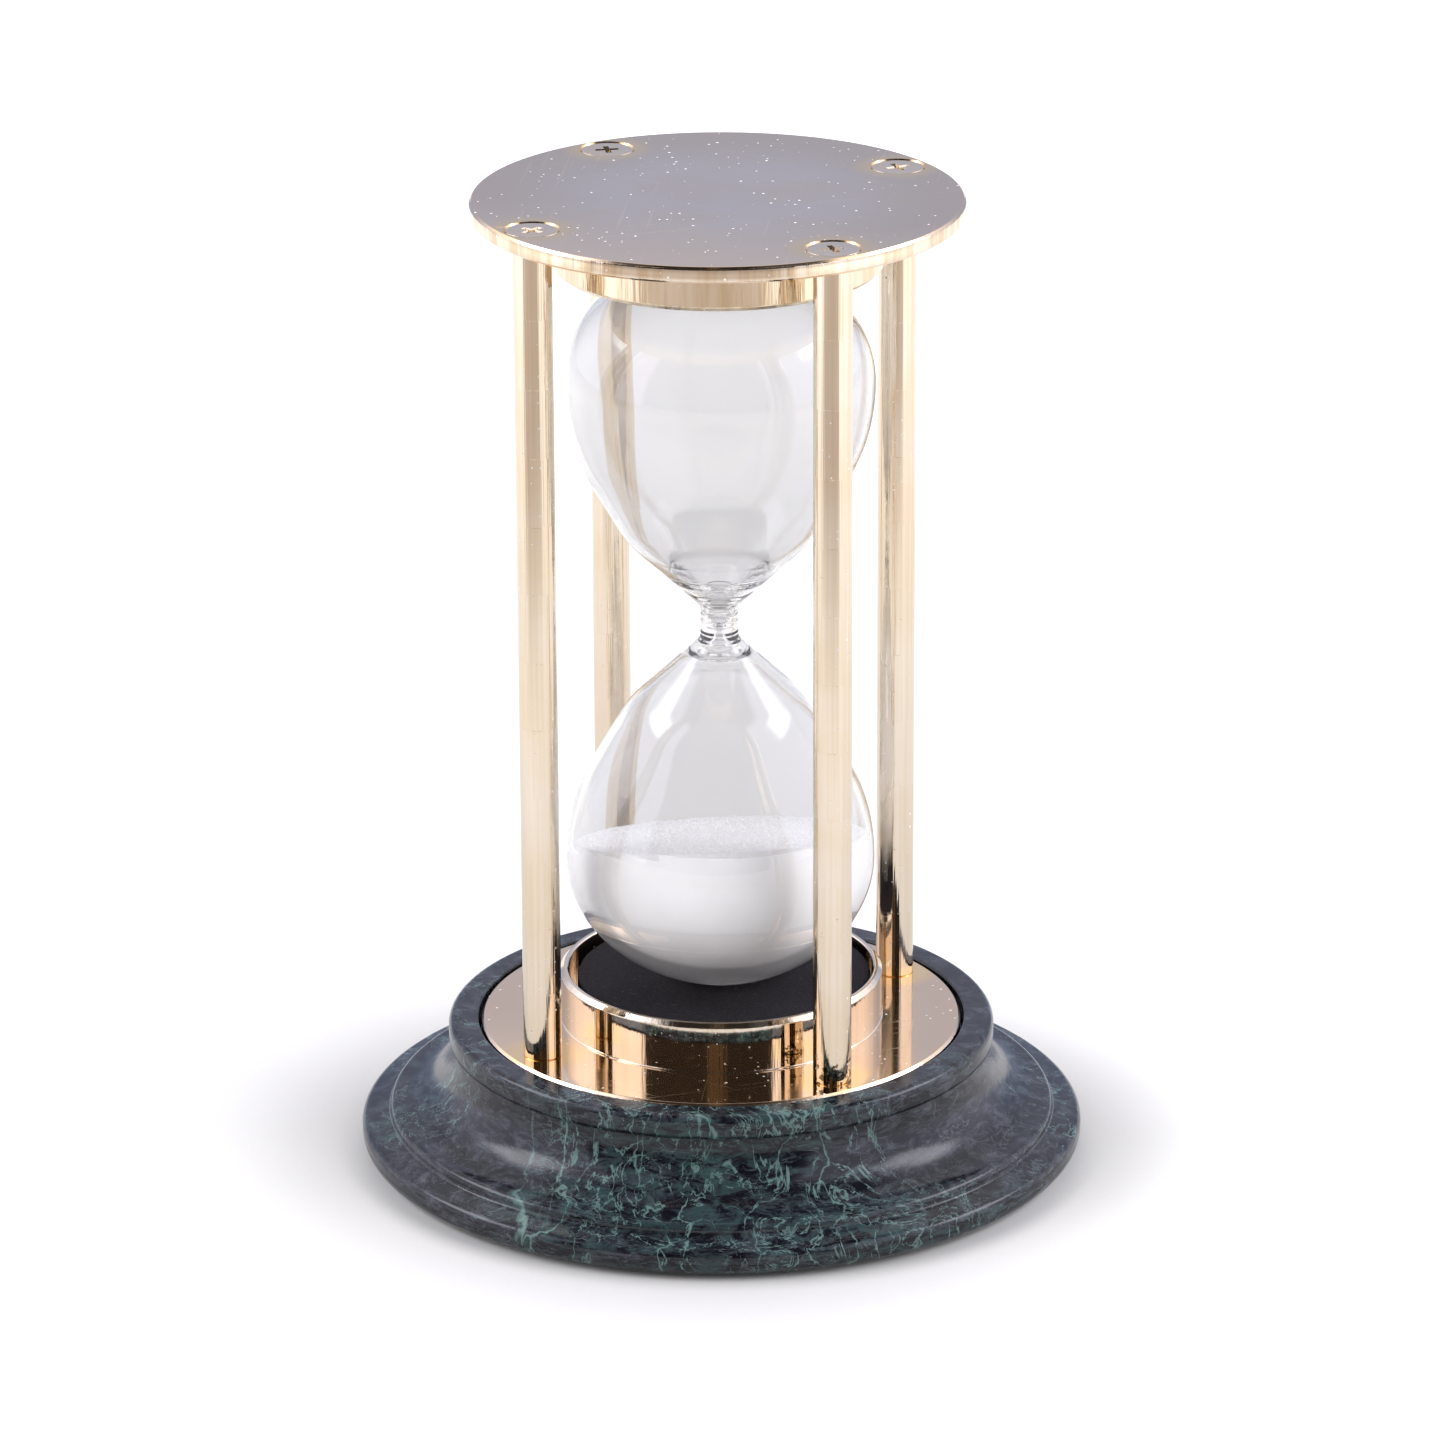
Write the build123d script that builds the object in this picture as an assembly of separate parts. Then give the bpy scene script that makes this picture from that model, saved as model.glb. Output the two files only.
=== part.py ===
from build123d import *
import math
import os

# Desk hourglass: blown glass bulbs in a brass frame of two discs and four columns,
# seated loose in the round recess of a turned marble base.
# Millimetres, +Z up, origin on the table under the middle of the base, front at -Y.

# ---- driving dimensions ----

# marble base
base_radius = 67.0
base_height = 24.0
base_felt_radius = 62.0
felt_thickness = 1.0
bead_radius = 50.6
bead_round = 1.5
bead_height = 4.6
neck_radius = 49.5
cove_radius = 10.8
crest_round = 1.4
step_fillet = 0.8
flange_fall = 0.6
flange_edge_round = 1.7
flange_edge_straight = 1.1
base_bottom_round = 2.4
recess_radius = 45.05
recess_edge_round = 0.4
recess_felt_radius = 44.0

# brass frame
plate_radius = 44.5
plate_thickness = 3.0
plate_chamfer = 0.5
column_radius = 3.5
column_circle_radius = 38.4
column_length = 153.9
column_edge = 0.2
collar_outer_radius = 29.9
collar_inner_radius = 28.3
collar_height = 9.5
collar_chamfer = 0.8
collar_inner_chamfer = 0.2

# foam pads that hold the glass
pad_radius = 27.4
pad_thickness = 8.2
pad_clearance = 0.02

# glass, measured outwards from the middle of the neck
glass_half_length = 69.2
glass_wall = 1.4
neck_outer_radius = 3.2
neck_fillet = 3.05
throat_radius = 0.75
cone_angle = 46.2
shoulder_angle = 29.7
shoulder_radius = 20.4
shoulder_straight = 10.3
bulb_side_radius = 35.9
bulb_radius = 28.4
bulb_widest = 45.5
bulb_end_side_radius = 20.5

# sand, lying with a tilted top in the lower bulb
sand_height = 35.0
sand_slope = 13.9
sand_rise_direction = -67.3
sand_clearance = 0.05

# M5 countersunk cross-head screws
screw_radius = 2.45
screw_length = 12.0
screw_head_radius = 4.7
screw_head_rim = 0.3
screw_head_sunk = 0.1
screw_tip_chamfer = 0.6
cross_length = 4.6
cross_width = 1.1
cross_depth = 1.7
cross_taper = 10.0
screw_hole_radius = 2.65
countersink_radius = 5.15
tapped_hole_radius = 2.5
tapped_hole_depth = 11.0

# ---- heights that follow from them ----

base_top = felt_thickness + base_height
bottom_plate_z = base_top - plate_thickness
recess_felt_z = bottom_plate_z - felt_thickness
column_z = base_top
top_plate_z = column_z + column_length
frame_top = top_plate_z + plate_thickness
glass_middle_z = column_z + column_length / 2

# each column stands at the end of one diagonal, named by where it is
column_places = {
    "front_left": 225.0,
    "front_right": 315.0,
    "back_right": 45.0,
    "back_left": 135.0,
}


# ---- helpers ----

def turn(*edges):
    """Revolve an outline, drawn as radius and height, about the vertical axis."""
    outline = Plane.XZ * make_face(list(edges))
    return revolve(outline, Axis.Z, 360)


def on_circle(centre, radius, angle):
    """Point of a circle, with the angle in degrees from the first axis."""
    turned = math.radians(angle)
    return (centre[0] + radius * math.cos(turned), centre[1] + radius * math.sin(turned))


def arc(centre, radius, start, end):
    """Arc of a circle between two angles, in either direction."""
    return ThreePointArc(
        on_circle(centre, radius, start),
        on_circle(centre, radius, (start + end) / 2),
        on_circle(centre, radius, end),
    )


def column_position(place):
    """Where the column of that name stands, seen from above."""
    return on_circle((0, 0), column_circle_radius, column_places[place])


# ---- marble base ----

def make_marble_base():
    """Turned profile: recess, rounded bead, cove, crest, small step and flange."""
    inner = recess_radius + recess_edge_round
    bead_side_top = base_top - bead_round
    bead_under = base_top - bead_height
    under_round = bead_radius - neck_radius
    cove_centre = (neck_radius + cove_radius, bead_under - crest_round / 2)
    cove_bottom = cove_centre[1] - cove_radius
    crest_edge = cove_centre[0] + crest_round
    step_top = cove_bottom - crest_round
    step_out = crest_edge + step_fillet
    flange_top = step_top - step_fillet
    edge_start = base_radius - flange_edge_round
    edge_centre_z = flange_top - flange_fall - flange_edge_round
    bottom_round_z = edge_centre_z - flange_edge_straight
    foot_radius = base_radius - base_bottom_round
    outline = [
        Line((0, recess_felt_z), (recess_radius, recess_felt_z)),
        Line((recess_radius, recess_felt_z), (recess_radius, base_top - recess_edge_round)),
        arc((inner, base_top - recess_edge_round), recess_edge_round, 180, 90),
        Line((inner, base_top), (bead_radius - bead_round, base_top)),
        arc((bead_radius - bead_round, bead_side_top), bead_round, 90, 0),
        Line((bead_radius, bead_side_top), (bead_radius, bead_under + under_round)),
        arc((neck_radius, bead_under + under_round), under_round, 0, -90),
        Line((neck_radius, bead_under), (neck_radius, cove_centre[1])),
        arc(cove_centre, cove_radius, 180, 270),
        arc((cove_centre[0], step_top), crest_round, 90, 0),
        arc((step_out, step_top), step_fillet, 180, 270),
        Line((step_out, flange_top), (edge_start, flange_top - flange_fall)),
        arc((edge_start, edge_centre_z), flange_edge_round, 90, 0),
        Line((base_radius, edge_centre_z), (base_radius, bottom_round_z)),
        Line((base_radius, bottom_round_z), (base_radius, felt_thickness + base_bottom_round)),
        arc((foot_radius, felt_thickness + base_bottom_round), base_bottom_round, 0, -90),
        Line((foot_radius, felt_thickness), (0, felt_thickness)),
        Line((0, felt_thickness), (0, recess_felt_z)),
    ]
    return turn(*outline)


def make_disc(radius, thickness, z):
    """Plain flat disc lying at height z."""
    return Pos(0, 0, z) * Cylinder(radius, thickness, align=(Align.CENTER, Align.CENTER, Align.MIN))


# ---- brass frame ----

def make_plate(z, outer_face_up):
    """Disc with bevelled edges and countersunk screw holes in its outer face."""
    plate = Cylinder(plate_radius, plate_thickness)
    plate = chamfer(plate.edges().filter_by(GeomType.CIRCLE), plate_chamfer)
    sink_depth = countersink_radius - screw_hole_radius
    for place in column_places:
        x, y = column_position(place)
        plate -= Pos(x, y, 0) * Cylinder(screw_hole_radius, plate_thickness)
        sink_z = plate_thickness / 2 - sink_depth / 2
        plate -= Pos(x, y, sink_z) * Cone(screw_hole_radius, countersink_radius, sink_depth)
    if not outer_face_up:
        plate = mirror(plate, about=Plane.XY)
    return Pos(0, 0, z + plate_thickness / 2) * plate


def make_column(place):
    """Solid rod with a tapped hole in each end, its thread left plain."""
    rod = Cylinder(column_radius, column_length)
    rod = chamfer(rod.edges().filter_by(GeomType.CIRCLE), column_edge)
    for end in (-1, 1):
        hole_z = end * (column_length - tapped_hole_depth) / 2
        rod -= Pos(0, 0, hole_z) * Cylinder(tapped_hole_radius, tapped_hole_depth)
    x, y = column_position(place)
    return Pos(x, y, column_z + column_length / 2) * rod


def make_collar(lower):
    """Ring that keeps the end of the glass in the middle of its plate."""
    top = collar_height
    corners = [
        (collar_inner_radius, 0),
        (collar_outer_radius, 0),
        (collar_outer_radius, top - collar_chamfer),
        (collar_outer_radius - collar_chamfer, top),
        (collar_inner_radius + collar_inner_chamfer, top),
        (collar_inner_radius, top - collar_inner_chamfer),
    ]
    ring = turn(*Polyline(*corners, close=True).edges())
    if lower:
        return Pos(0, 0, column_z) * ring
    return Pos(0, 0, top_plate_z) * mirror(ring, about=Plane.XY)


# ---- glass, pads and sand ----

def bulb_cap(wall):
    """Radius of the shallow cap that closes a bulb, and how far its centre is from the neck."""
    inset = bulb_radius - bulb_end_side_radius
    rise = glass_half_length - bulb_widest - bulb_end_side_radius
    radius = (inset ** 2 + rise ** 2) / (2 * rise) + bulb_end_side_radius
    return radius - wall, glass_half_length - radius


def bulb_outline(side, wall):
    """Half of the outline, from the neck to the end of one bulb, set in by the wall."""
    def at(point):
        return (point[0], glass_middle_z + side * point[1])

    def bend(centre, radius, start, end):
        points = [on_circle(centre, radius, a) for a in (start, (start + end) / 2, end)]
        return ThreePointArc(*[at(point) for point in points])

    # circle centres as (radius from the axis, distance from the middle of the neck)
    side_centre = (bulb_radius - bulb_side_radius, bulb_widest)
    straight_end = on_circle(side_centre, bulb_side_radius, -shoulder_angle)
    tilt = math.radians(shoulder_angle)
    straight_start = (
        straight_end[0] - shoulder_straight * math.sin(tilt),
        straight_end[1] - shoulder_straight * math.cos(tilt),
    )
    shoulder_centre = on_circle(straight_start, -shoulder_radius, -shoulder_angle)
    cone = math.radians(cone_angle)
    cone_end = on_circle(shoulder_centre, shoulder_radius - wall, -cone_angle)
    end_side_centre = (bulb_radius - bulb_end_side_radius, bulb_widest)
    cap_radius, cap_centre = bulb_cap(wall)
    cap_angle = math.degrees(math.atan2(bulb_widest - cap_centre, end_side_centre[0]))

    neck = neck_outer_radius if wall == 0 else throat_radius
    fillet = neck_fillet if wall == 0 else throat_radius
    cone_start_radius = neck + fillet * (1 - math.cos(cone))
    cone_run = (cone_end[0] - cone_start_radius) / math.tan(cone)
    cone_start = (cone_start_radius, cone_end[1] - cone_run)
    neck_end = (neck, cone_start[1] - fillet * math.sin(cone))
    outer_side = on_circle(side_centre, bulb_side_radius - wall, -shoulder_angle)
    inner_side = on_circle(shoulder_centre, shoulder_radius - wall, -shoulder_angle)
    return [
        Line(at((neck, 0)), at(neck_end)),
        bend((neck + fillet, neck_end[1]), fillet, 180, 180 - cone_angle),
        Line(at(cone_start), at(cone_end)),
        bend(shoulder_centre, shoulder_radius - wall, -cone_angle, -shoulder_angle),
        Line(at(inner_side), at(outer_side)),
        bend(side_centre, bulb_side_radius - wall, -shoulder_angle, 0),
        bend(end_side_centre, bulb_end_side_radius - wall, 0, cap_angle),
        bend((0, cap_centre), cap_radius, cap_angle, 90),
    ]


def make_bulb_shape(wall):
    """Both bulbs as one turned solid, set in by the wall: zero gives the outside."""
    cap_radius, cap_centre = bulb_cap(wall)
    half_length = cap_radius + cap_centre
    axis = Line((0, glass_middle_z - half_length), (0, glass_middle_z + half_length))
    return turn(*bulb_outline(-1, wall), *bulb_outline(1, wall), axis)


def make_glass():
    """Sealed glass: the outside with the hollow of both bulbs and the throat taken out."""
    return make_bulb_shape(0) - make_bulb_shape(glass_wall)


def make_pad(lower):
    """Foam disc in the collar, pressed in where the round end of the glass rests on it."""
    cap_radius, cap_centre = bulb_cap(0)
    side = -1 if lower else 1
    pad_z = column_z if lower else top_plate_z - pad_thickness
    dent = Pos(0, 0, glass_middle_z + side * cap_centre) * Sphere(cap_radius + pad_clearance)
    return make_disc(pad_radius, pad_thickness, pad_z) - dent


def make_sand():
    """Fine sand that fills the lower bulb up to a tilted flat top."""
    rise = math.radians(sand_rise_direction)
    slope = math.radians(sand_slope)
    upright = (
        -math.sin(slope) * math.cos(rise),
        -math.sin(slope) * math.sin(rise),
        math.cos(slope),
    )
    top = Plane(origin=(0, 0, column_z + sand_height), z_dir=upright)
    hollow = make_bulb_shape(glass_wall + sand_clearance)
    return split(hollow, bisect_by=top, keep=Keep.BOTTOM)


# ---- screws ----

def make_screw(place, top):
    """Countersunk screw through a plate into the end of a column."""
    rim_z = -screw_head_rim
    cone_z = rim_z - (screw_head_radius - screw_radius)
    tip = screw_radius - screw_tip_chamfer
    corners = [
        (0, 0),
        (screw_head_radius, 0),
        (screw_head_radius, rim_z),
        (screw_radius, cone_z),
        (screw_radius, screw_tip_chamfer - screw_length),
        (tip, -screw_length),
        (0, -screw_length),
    ]
    screw = turn(*Polyline(*corners, close=True).edges())
    for angle in (0, 90):
        slot = Rectangle(cross_length, cross_width)
        screw -= Rot(0, 0, angle) * extrude(slot, amount=-cross_depth, taper=cross_taper)
    x, y = column_position(place)
    if top:
        return Pos(x, y, frame_top - screw_head_sunk) * screw
    return Pos(x, y, bottom_plate_z + screw_head_sunk) * mirror(screw, about=Plane.XY)


# ---- every sub-part in its own file ----

def make_parts():
    parts = {
        "base_felt": make_disc(base_felt_radius, felt_thickness, 0),
        "marble_base": make_marble_base(),
        "recess_felt": make_disc(recess_felt_radius, felt_thickness, recess_felt_z),
        "bottom_plate": make_plate(bottom_plate_z, outer_face_up=False),
        "top_plate": make_plate(top_plate_z, outer_face_up=True),
        "lower_collar": make_collar(lower=True),
        "upper_collar": make_collar(lower=False),
        "lower_pad": make_pad(lower=True),
        "upper_pad": make_pad(lower=False),
        "glass_bulbs": make_glass(),
        "sand": make_sand(),
    }
    for place in column_places:
        parts["column_" + place] = make_column(place)
        parts["top_screw_" + place] = make_screw(place, top=True)
        parts["bottom_screw_" + place] = make_screw(place, top=False)
    return parts


os.makedirs("parts", exist_ok=True)
for name, shape in make_parts().items():
    export_step(shape, "parts/" + name + ".step")
    print(name, round(shape.volume, 1))
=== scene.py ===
# %% [markdown]
# # A desk sand timer in brass, glass and marble
#
# The real object is a blown glass timer held between two brass discs by four turned columns. That frame
# is not fixed to anything: it stands in a round recess in a base of polished green marble, and is lifted
# out to be turned over. Everything here is in metres, with +Z up and the front at -Y, in the same place
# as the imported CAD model, which is loaded first and never moved.

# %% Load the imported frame
import math

import bmesh
import bpy
import numpy as np
from mathutils import Matrix, Vector


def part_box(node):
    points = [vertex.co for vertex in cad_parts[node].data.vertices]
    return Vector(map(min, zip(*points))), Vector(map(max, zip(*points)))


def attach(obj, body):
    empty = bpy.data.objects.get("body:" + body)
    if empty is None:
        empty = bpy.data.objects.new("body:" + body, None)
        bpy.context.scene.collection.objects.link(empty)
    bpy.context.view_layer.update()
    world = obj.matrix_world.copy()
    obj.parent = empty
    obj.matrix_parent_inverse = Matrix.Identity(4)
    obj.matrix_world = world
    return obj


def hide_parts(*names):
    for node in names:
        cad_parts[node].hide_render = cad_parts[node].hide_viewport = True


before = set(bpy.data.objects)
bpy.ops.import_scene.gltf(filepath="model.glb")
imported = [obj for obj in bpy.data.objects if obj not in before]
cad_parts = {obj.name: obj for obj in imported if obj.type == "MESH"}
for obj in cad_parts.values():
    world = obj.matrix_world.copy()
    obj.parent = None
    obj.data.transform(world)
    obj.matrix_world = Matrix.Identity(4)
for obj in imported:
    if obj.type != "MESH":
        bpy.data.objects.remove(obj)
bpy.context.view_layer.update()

MM = 0.001
scene = bpy.context.scene

# %% [markdown]
# ## Reading sizes from the frame
#
# A piece is only right if it sits where the design says, so each height and radius that the CAD model
# already fixes is read from the box of a node. Only the shapes between those limits, such as the radius
# of a rounding, are given as values of their own, next to the piece that needs them.

# %% Heights and radii that the frame fixes
def span(node):
    """Radius of a round node, and the heights of its underside and its top."""
    low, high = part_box(node)
    return (high.x - low.x) / 2, low.z, high.z


PLACES = ["front_left", "front_right", "back_right", "back_left"]
base_radius, base_bottom, base_top = span("marble_base")
plate_radius, lower_plate_z, _ = span("bottom_plate")
upper_plate_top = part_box("top_plate")[1].z
glass_radius, glass_bottom, glass_top = span("glass_bulbs")
glass_middle = (glass_bottom + glass_top) / 2
post_low, post_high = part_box("column_front_right")
post_radius = (post_high.x - post_low.x) / 2
post_circle = math.hypot(post_low.x + post_high.x, post_low.y + post_high.y) / 2
print("post circle", round(post_circle / MM, 2), "glass middle", round(glass_middle / MM, 2))

# %% [markdown]
# ## Small tools used all through
#
# Node trees are long to write by hand, so one helper adds a node, sets its options and fills its sockets,
# either with a plain value or with a link from another node. The same helper serves geometry, shader and
# world trees. New groups get their sockets from a list of (name, type, starting value).

# %% Node helpers
FLOAT, INTEGER, VECTOR = "NodeSocketFloat", "NodeSocketInt", "NodeSocketVector"
GEOMETRY, MATERIAL, OBJECT = "NodeSocketGeometry", "NodeSocketMaterial", "NodeSocketObject"
LEVEL = (1.0, 1.0, 0.0)


def add(tree, kind, sockets=None, **options):
    """Add a node; sockets maps an input's name or number to a value or to another node's output."""
    node = tree.nodes.new(kind)
    for option, value in options.items():
        setattr(node, option, value)
    for key, value in (sockets or {}).items():
        if isinstance(value, bpy.types.NodeSocket):
            tree.links.new(value, node.inputs[key])
        else:
            node.inputs[key].default_value = value
    return node


def calc(tree, operation, a, b=0.0, c=0.0, clamp=False):
    """One Math node: its output."""
    return add(tree, "ShaderNodeMath", {0: a, 1: b, 2: c}, operation=operation, use_clamp=clamp).outputs[0]


def times(tree, a, b):
    return calc(tree, "MULTIPLY", a, b)


def plus(tree, a, b):
    return calc(tree, "ADD", a, b)


def minus(tree, a, b):
    return calc(tree, "SUBTRACT", a, b)


def distance_from(tree, value, middle):
    """How far a value is from a middle, to either side."""
    return calc(tree, "ABSOLUTE", minus(tree, value, middle))


def scaled(tree, vector, factors):
    """Vector times three factors, such as one that flattens or stretches a pattern."""
    return add(tree, "ShaderNodeVectorMath", {0: vector, 1: factors}, operation="MULTIPLY").outputs[0]


def from_axis(tree, place):
    """Distance of a place from the upright axis."""
    return add(tree, "ShaderNodeVectorMath", {0: scaled(tree, place, LEVEL)},
               operation="LENGTH").outputs["Value"]


def noise(tree, vector, scale, detail, **more):
    """Noise pattern: its value."""
    return add(tree, "ShaderNodeTexNoise", {"Vector": vector, "Scale": scale, "Detail": detail,
                                            **more}).outputs[0]


def live(sockets, name=None):
    """The one socket that a node of changeable type uses now."""
    return next(s for s in sockets if s.enabled and name in (None, s.name))


def blend(tree, factor, a, b):
    """Mix two colours."""
    node = add(tree, "ShaderNodeMix", {0: factor, 6: a, 7: b}, data_type="RGBA")
    return node.outputs[2]


def ramp(tree, value, low, high, to_low=0.0, to_high=1.0, smooth=True):
    """Carry a value from one range to another, held at both ends."""
    kind = "SMOOTHSTEP" if smooth else "LINEAR"
    node = add(tree, "ShaderNodeMapRange", {0: value, 1: low, 2: high, 3: to_low, 4: to_high},
               interpolation_type=kind, clamp=True)
    return node.outputs[0]


def new_group(name, kind, inputs, outputs):
    """Empty node group with named sockets; returns the tree, its input node and its output node."""
    tree = bpy.data.node_groups.new(name, kind)
    for label, socket, value in inputs:
        item = tree.interface.new_socket(label, in_out="INPUT", socket_type=socket)
        if value is not None:
            item.default_value = value
    for label, socket in outputs:
        tree.interface.new_socket(label, in_out="OUTPUT", socket_type=socket)
    return tree, tree.nodes.new("NodeGroupInput"), tree.nodes.new("NodeGroupOutput")


def end_tree(tree, geometry, given, result):
    """Close a geometry tree: real meshes instead of copies, and the finish on all of them."""
    real = add(tree, "GeometryNodeRealizeInstances", {"Geometry": geometry})
    painted = add(tree, "GeometryNodeSetMaterial", {"Geometry": real.outputs[0],
                                                    "Material": given.outputs["Finish"]})
    tree.links.new(painted.outputs[0], result.inputs[0])


def new_material(name):
    """Material with one Principled shader; returns the material, its tree and the shader."""
    material = bpy.data.materials.new(name)
    material.use_nodes = True
    tree = material.node_tree
    tree.nodes.clear()
    shader = tree.nodes.new("ShaderNodeBsdfPrincipled")
    output = tree.nodes.new("ShaderNodeOutputMaterial")
    tree.links.new(shader.outputs[0], output.inputs[0])
    return material, tree, shader


def use_group(tree, group, sockets):
    """Place a shader group in a material and fill its inputs."""
    node = tree.nodes.new("ShaderNodeGroup")
    node.node_tree = group
    for key, value in sockets.items():
        if isinstance(value, bpy.types.NodeSocket):
            tree.links.new(value, node.inputs[key])
        else:
            node.inputs[key].default_value = value
    return node


# %% [markdown]
# ## Mesh helpers
#
# A turned piece is described by its outline alone: points given as (radius, height), with the round
# stretches filled in by an arc function. The outline becomes a chain of edges, which the lathe tree
# further down spins into a surface.

# %% Outlines, plain meshes and checks
def arc(centre, radius, start, end, steps=8):
    """Points on an arc, angles in degrees, from the outward axis; both ends included."""
    angles = [math.radians(start + (end - start) * i / steps) for i in range(steps + 1)]
    return [(centre[0] + radius * math.cos(a), centre[1] + radius * math.sin(a)) for a in angles]


def mesh_object(name, points, edges=(), faces=()):
    mesh = bpy.data.meshes.new(name)
    mesh.from_pydata([tuple(p) for p in points], list(edges), list(faces))
    mesh.update()
    made = bpy.data.objects.new(name, mesh)
    scene.collection.objects.link(made)
    return made


def held(outline, hold=0.08 * MM, long=2.0 * MM):
    """Extra points close to the corners of each long straight stretch, so that it shades flat."""
    made = [outline[0]]
    for (r0, z0), (r1, z1) in zip(outline, outline[1:]):
        length = math.hypot(r1 - r0, z1 - z0)
        if length > long:
            made += [(r0 + (r1 - r0) * t, z0 + (z1 - z0) * t) for t in (hold / length, 1 - hold / length)]
        made.append((r1, z1))
    return made


def outline_object(name, outline):
    """Chain of edges in the plane of X and Z, in order, for the lathe to spin."""
    points = [(r, 0.0, z) for r, z in outline]
    return mesh_object(name, points, edges=[(i, i + 1) for i in range(len(points) - 1)])


def drop(*objects):
    for unwanted in objects:
        bpy.data.objects.remove(unwanted)


def face_outwards(mesh, inwards=False):
    """Merge doubles and point every face of a closed shell outwards, or inwards for a hollow."""
    work = bmesh.new()
    work.from_mesh(mesh)
    bmesh.ops.remove_doubles(work, verts=work.verts, dist=1e-7)
    bmesh.ops.recalc_face_normals(work, faces=work.faces)
    if (work.calc_volume(signed=True) < 0) != inwards:
        bmesh.ops.reverse_faces(work, faces=work.faces)
    open_edges = sum(1 for e in work.edges if len(e.link_faces) != 2)
    work.to_mesh(mesh)
    work.free()
    return open_edges


def join(name, parts):
    """Join mesh objects into one and name it."""
    with bpy.context.temp_override(active_object=parts[0], selected_editable_objects=parts):
        bpy.ops.object.join()
    parts[0].name = name
    parts[0].data.name = name
    return parts[0]


def tell(piece):
    """Say what was made: its triangles and its box in millimetres."""
    mesh = piece.data
    mesh.calc_loop_triangles()
    low = [round(min(v.co[i] for v in mesh.vertices) / MM, 2) for i in range(3)]
    high = [round(max(v.co[i] for v in mesh.vertices) / MM, 2) for i in range(3)]
    print(piece.name, len(mesh.loop_triangles), "triangles", low, high)


def sharpen(piece, degrees):
    """Smooth shading, with a hard edge wherever two faces meet at more than that angle."""
    piece.data.shade_smooth()
    piece.data.set_sharp_from_angle(angle=math.radians(degrees))


# %% [markdown]
# ## The lathe: one tree for every turned piece
#
# Marble base, discs, rings, columns, screws and both skins of the glass are all round about one axis. They
# could be made with Spin or the Screw modifier, but a Geometry Nodes lathe keeps the number of steps and
# the amount of hand-made unevenness as named inputs. A grid has one row for each outline point and one
# column for each step; every grid point samples its outline point and is turned about Z by its column. The
# grid's own UV goes along, so that a finish can follow the turning. The seam is welded at the end.

# %% Build the lathe tree
def build_lathe():
    tree, given, result = new_group("Lathe", "GeometryNodeTree", [
        ("Outline", GEOMETRY, None), ("Steps", INTEGER, 96), ("Unevenness", FLOAT, 0.0),
        ("Patch Size", FLOAT, 0.02), ("Seed", FLOAT, 1.0), ("Finish", MATERIAL, None),
    ], [("Geometry", GEOMETRY)])
    rows = add(tree, "GeometryNodeAttributeDomainSize",
               {"Geometry": given.outputs["Outline"]}).outputs["Point Count"]
    columns = plus(tree, given.outputs["Steps"], 1.0)
    grid = add(tree, "GeometryNodeMeshGrid", {"Vertices X": rows, "Vertices Y": columns})
    index = add(tree, "GeometryNodeInputIndex").outputs[0]
    row = calc(tree, "FLOOR", calc(tree, "DIVIDE", plus(tree, index, 0.5), columns))
    column = minus(tree, index, times(tree, row, columns))
    angle = times(tree, calc(tree, "DIVIDE", column, given.outputs["Steps"]), 2 * math.pi)
    place = add(tree, "GeometryNodeInputPosition").outputs[0]
    sample = add(tree, "GeometryNodeSampleIndex", {"Geometry": given.outputs["Outline"], "Index": row},
                 data_type="FLOAT_VECTOR")
    tree.links.new(place, live(sample.inputs, "Value"))
    point = live(sample.outputs)
    turned = add(tree, "ShaderNodeVectorRotate", {"Vector": point, "Angle": angle}, rotation_type="Z_AXIS")
    uv = add(tree, "GeometryNodeStoreNamedAttribute",
             {"Geometry": grid.outputs["Mesh"], "Name": "UVMap"}, data_type="FLOAT2", domain="CORNER")
    tree.links.new(grid.outputs["UV Map"], live(uv.inputs, "Value"))
    spun = add(tree, "GeometryNodeSetPosition", {"Geometry": uv.outputs[0], "Position": turned.outputs[0]})
    welded = add(tree, "GeometryNodeMergeByDistance", {"Geometry": spun.outputs[0], "Distance": 1e-7})
    patches = add(tree, "ShaderNodeTexNoise",
                  {"Vector": place, "W": given.outputs["Seed"], "Detail": 0.0,
                   "Scale": calc(tree, "DIVIDE", 1.0, given.outputs["Patch Size"])}, noise_dimensions="4D")
    push = times(tree, minus(tree, patches.outputs[0], 0.5), given.outputs["Unevenness"])
    radial = scaled(tree, place, LEVEL)
    outward = add(tree, "ShaderNodeVectorMath", {0: radial}, operation="NORMALIZE").outputs[0]
    offset = add(tree, "ShaderNodeVectorMath", {0: outward, "Scale": push}, operation="SCALE").outputs[0]
    uneven = add(tree, "GeometryNodeSetPosition", {"Geometry": welded.outputs[0], "Offset": offset})
    smooth = add(tree, "GeometryNodeSetShadeSmooth", {"Geometry": uneven.outputs[0]})
    end_tree(tree, smooth.outputs[0], given, result)
    return tree


def run_tree(name, start, tree, values):
    """Put the tree on an object, set its named inputs, and keep the result as one plain mesh."""
    modifier = start.modifiers.new("Nodes", "NODES")
    modifier.node_group = tree
    for item in tree.interface.items_tree:
        if item.item_type == "SOCKET" and item.in_out == "INPUT" and item.name in values:
            modifier[item.identifier] = values[item.name]
    evaluated = start.evaluated_get(bpy.context.evaluated_depsgraph_get())
    mesh = bpy.data.meshes.new_from_object(evaluated)
    start.modifiers.remove(modifier)
    drop(start)
    mesh.name = name
    made = bpy.data.objects.new(name, mesh)
    scene.collection.objects.link(made)
    return made


LATHE = build_lathe()


def turn(name, outline, finish, steps=96, inwards=False, **values):
    """Spin an outline into a closed, outward-facing piece."""
    values = {"Steps": steps, "Finish": finish, **values}
    piece = run_tree(name, outline_object(name + "_outline", held(outline)), LATHE, values)
    open_edges = face_outwards(piece.data, inwards)
    if open_edges:
        print(name, "has", open_edges, "open edges")
    return piece


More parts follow.
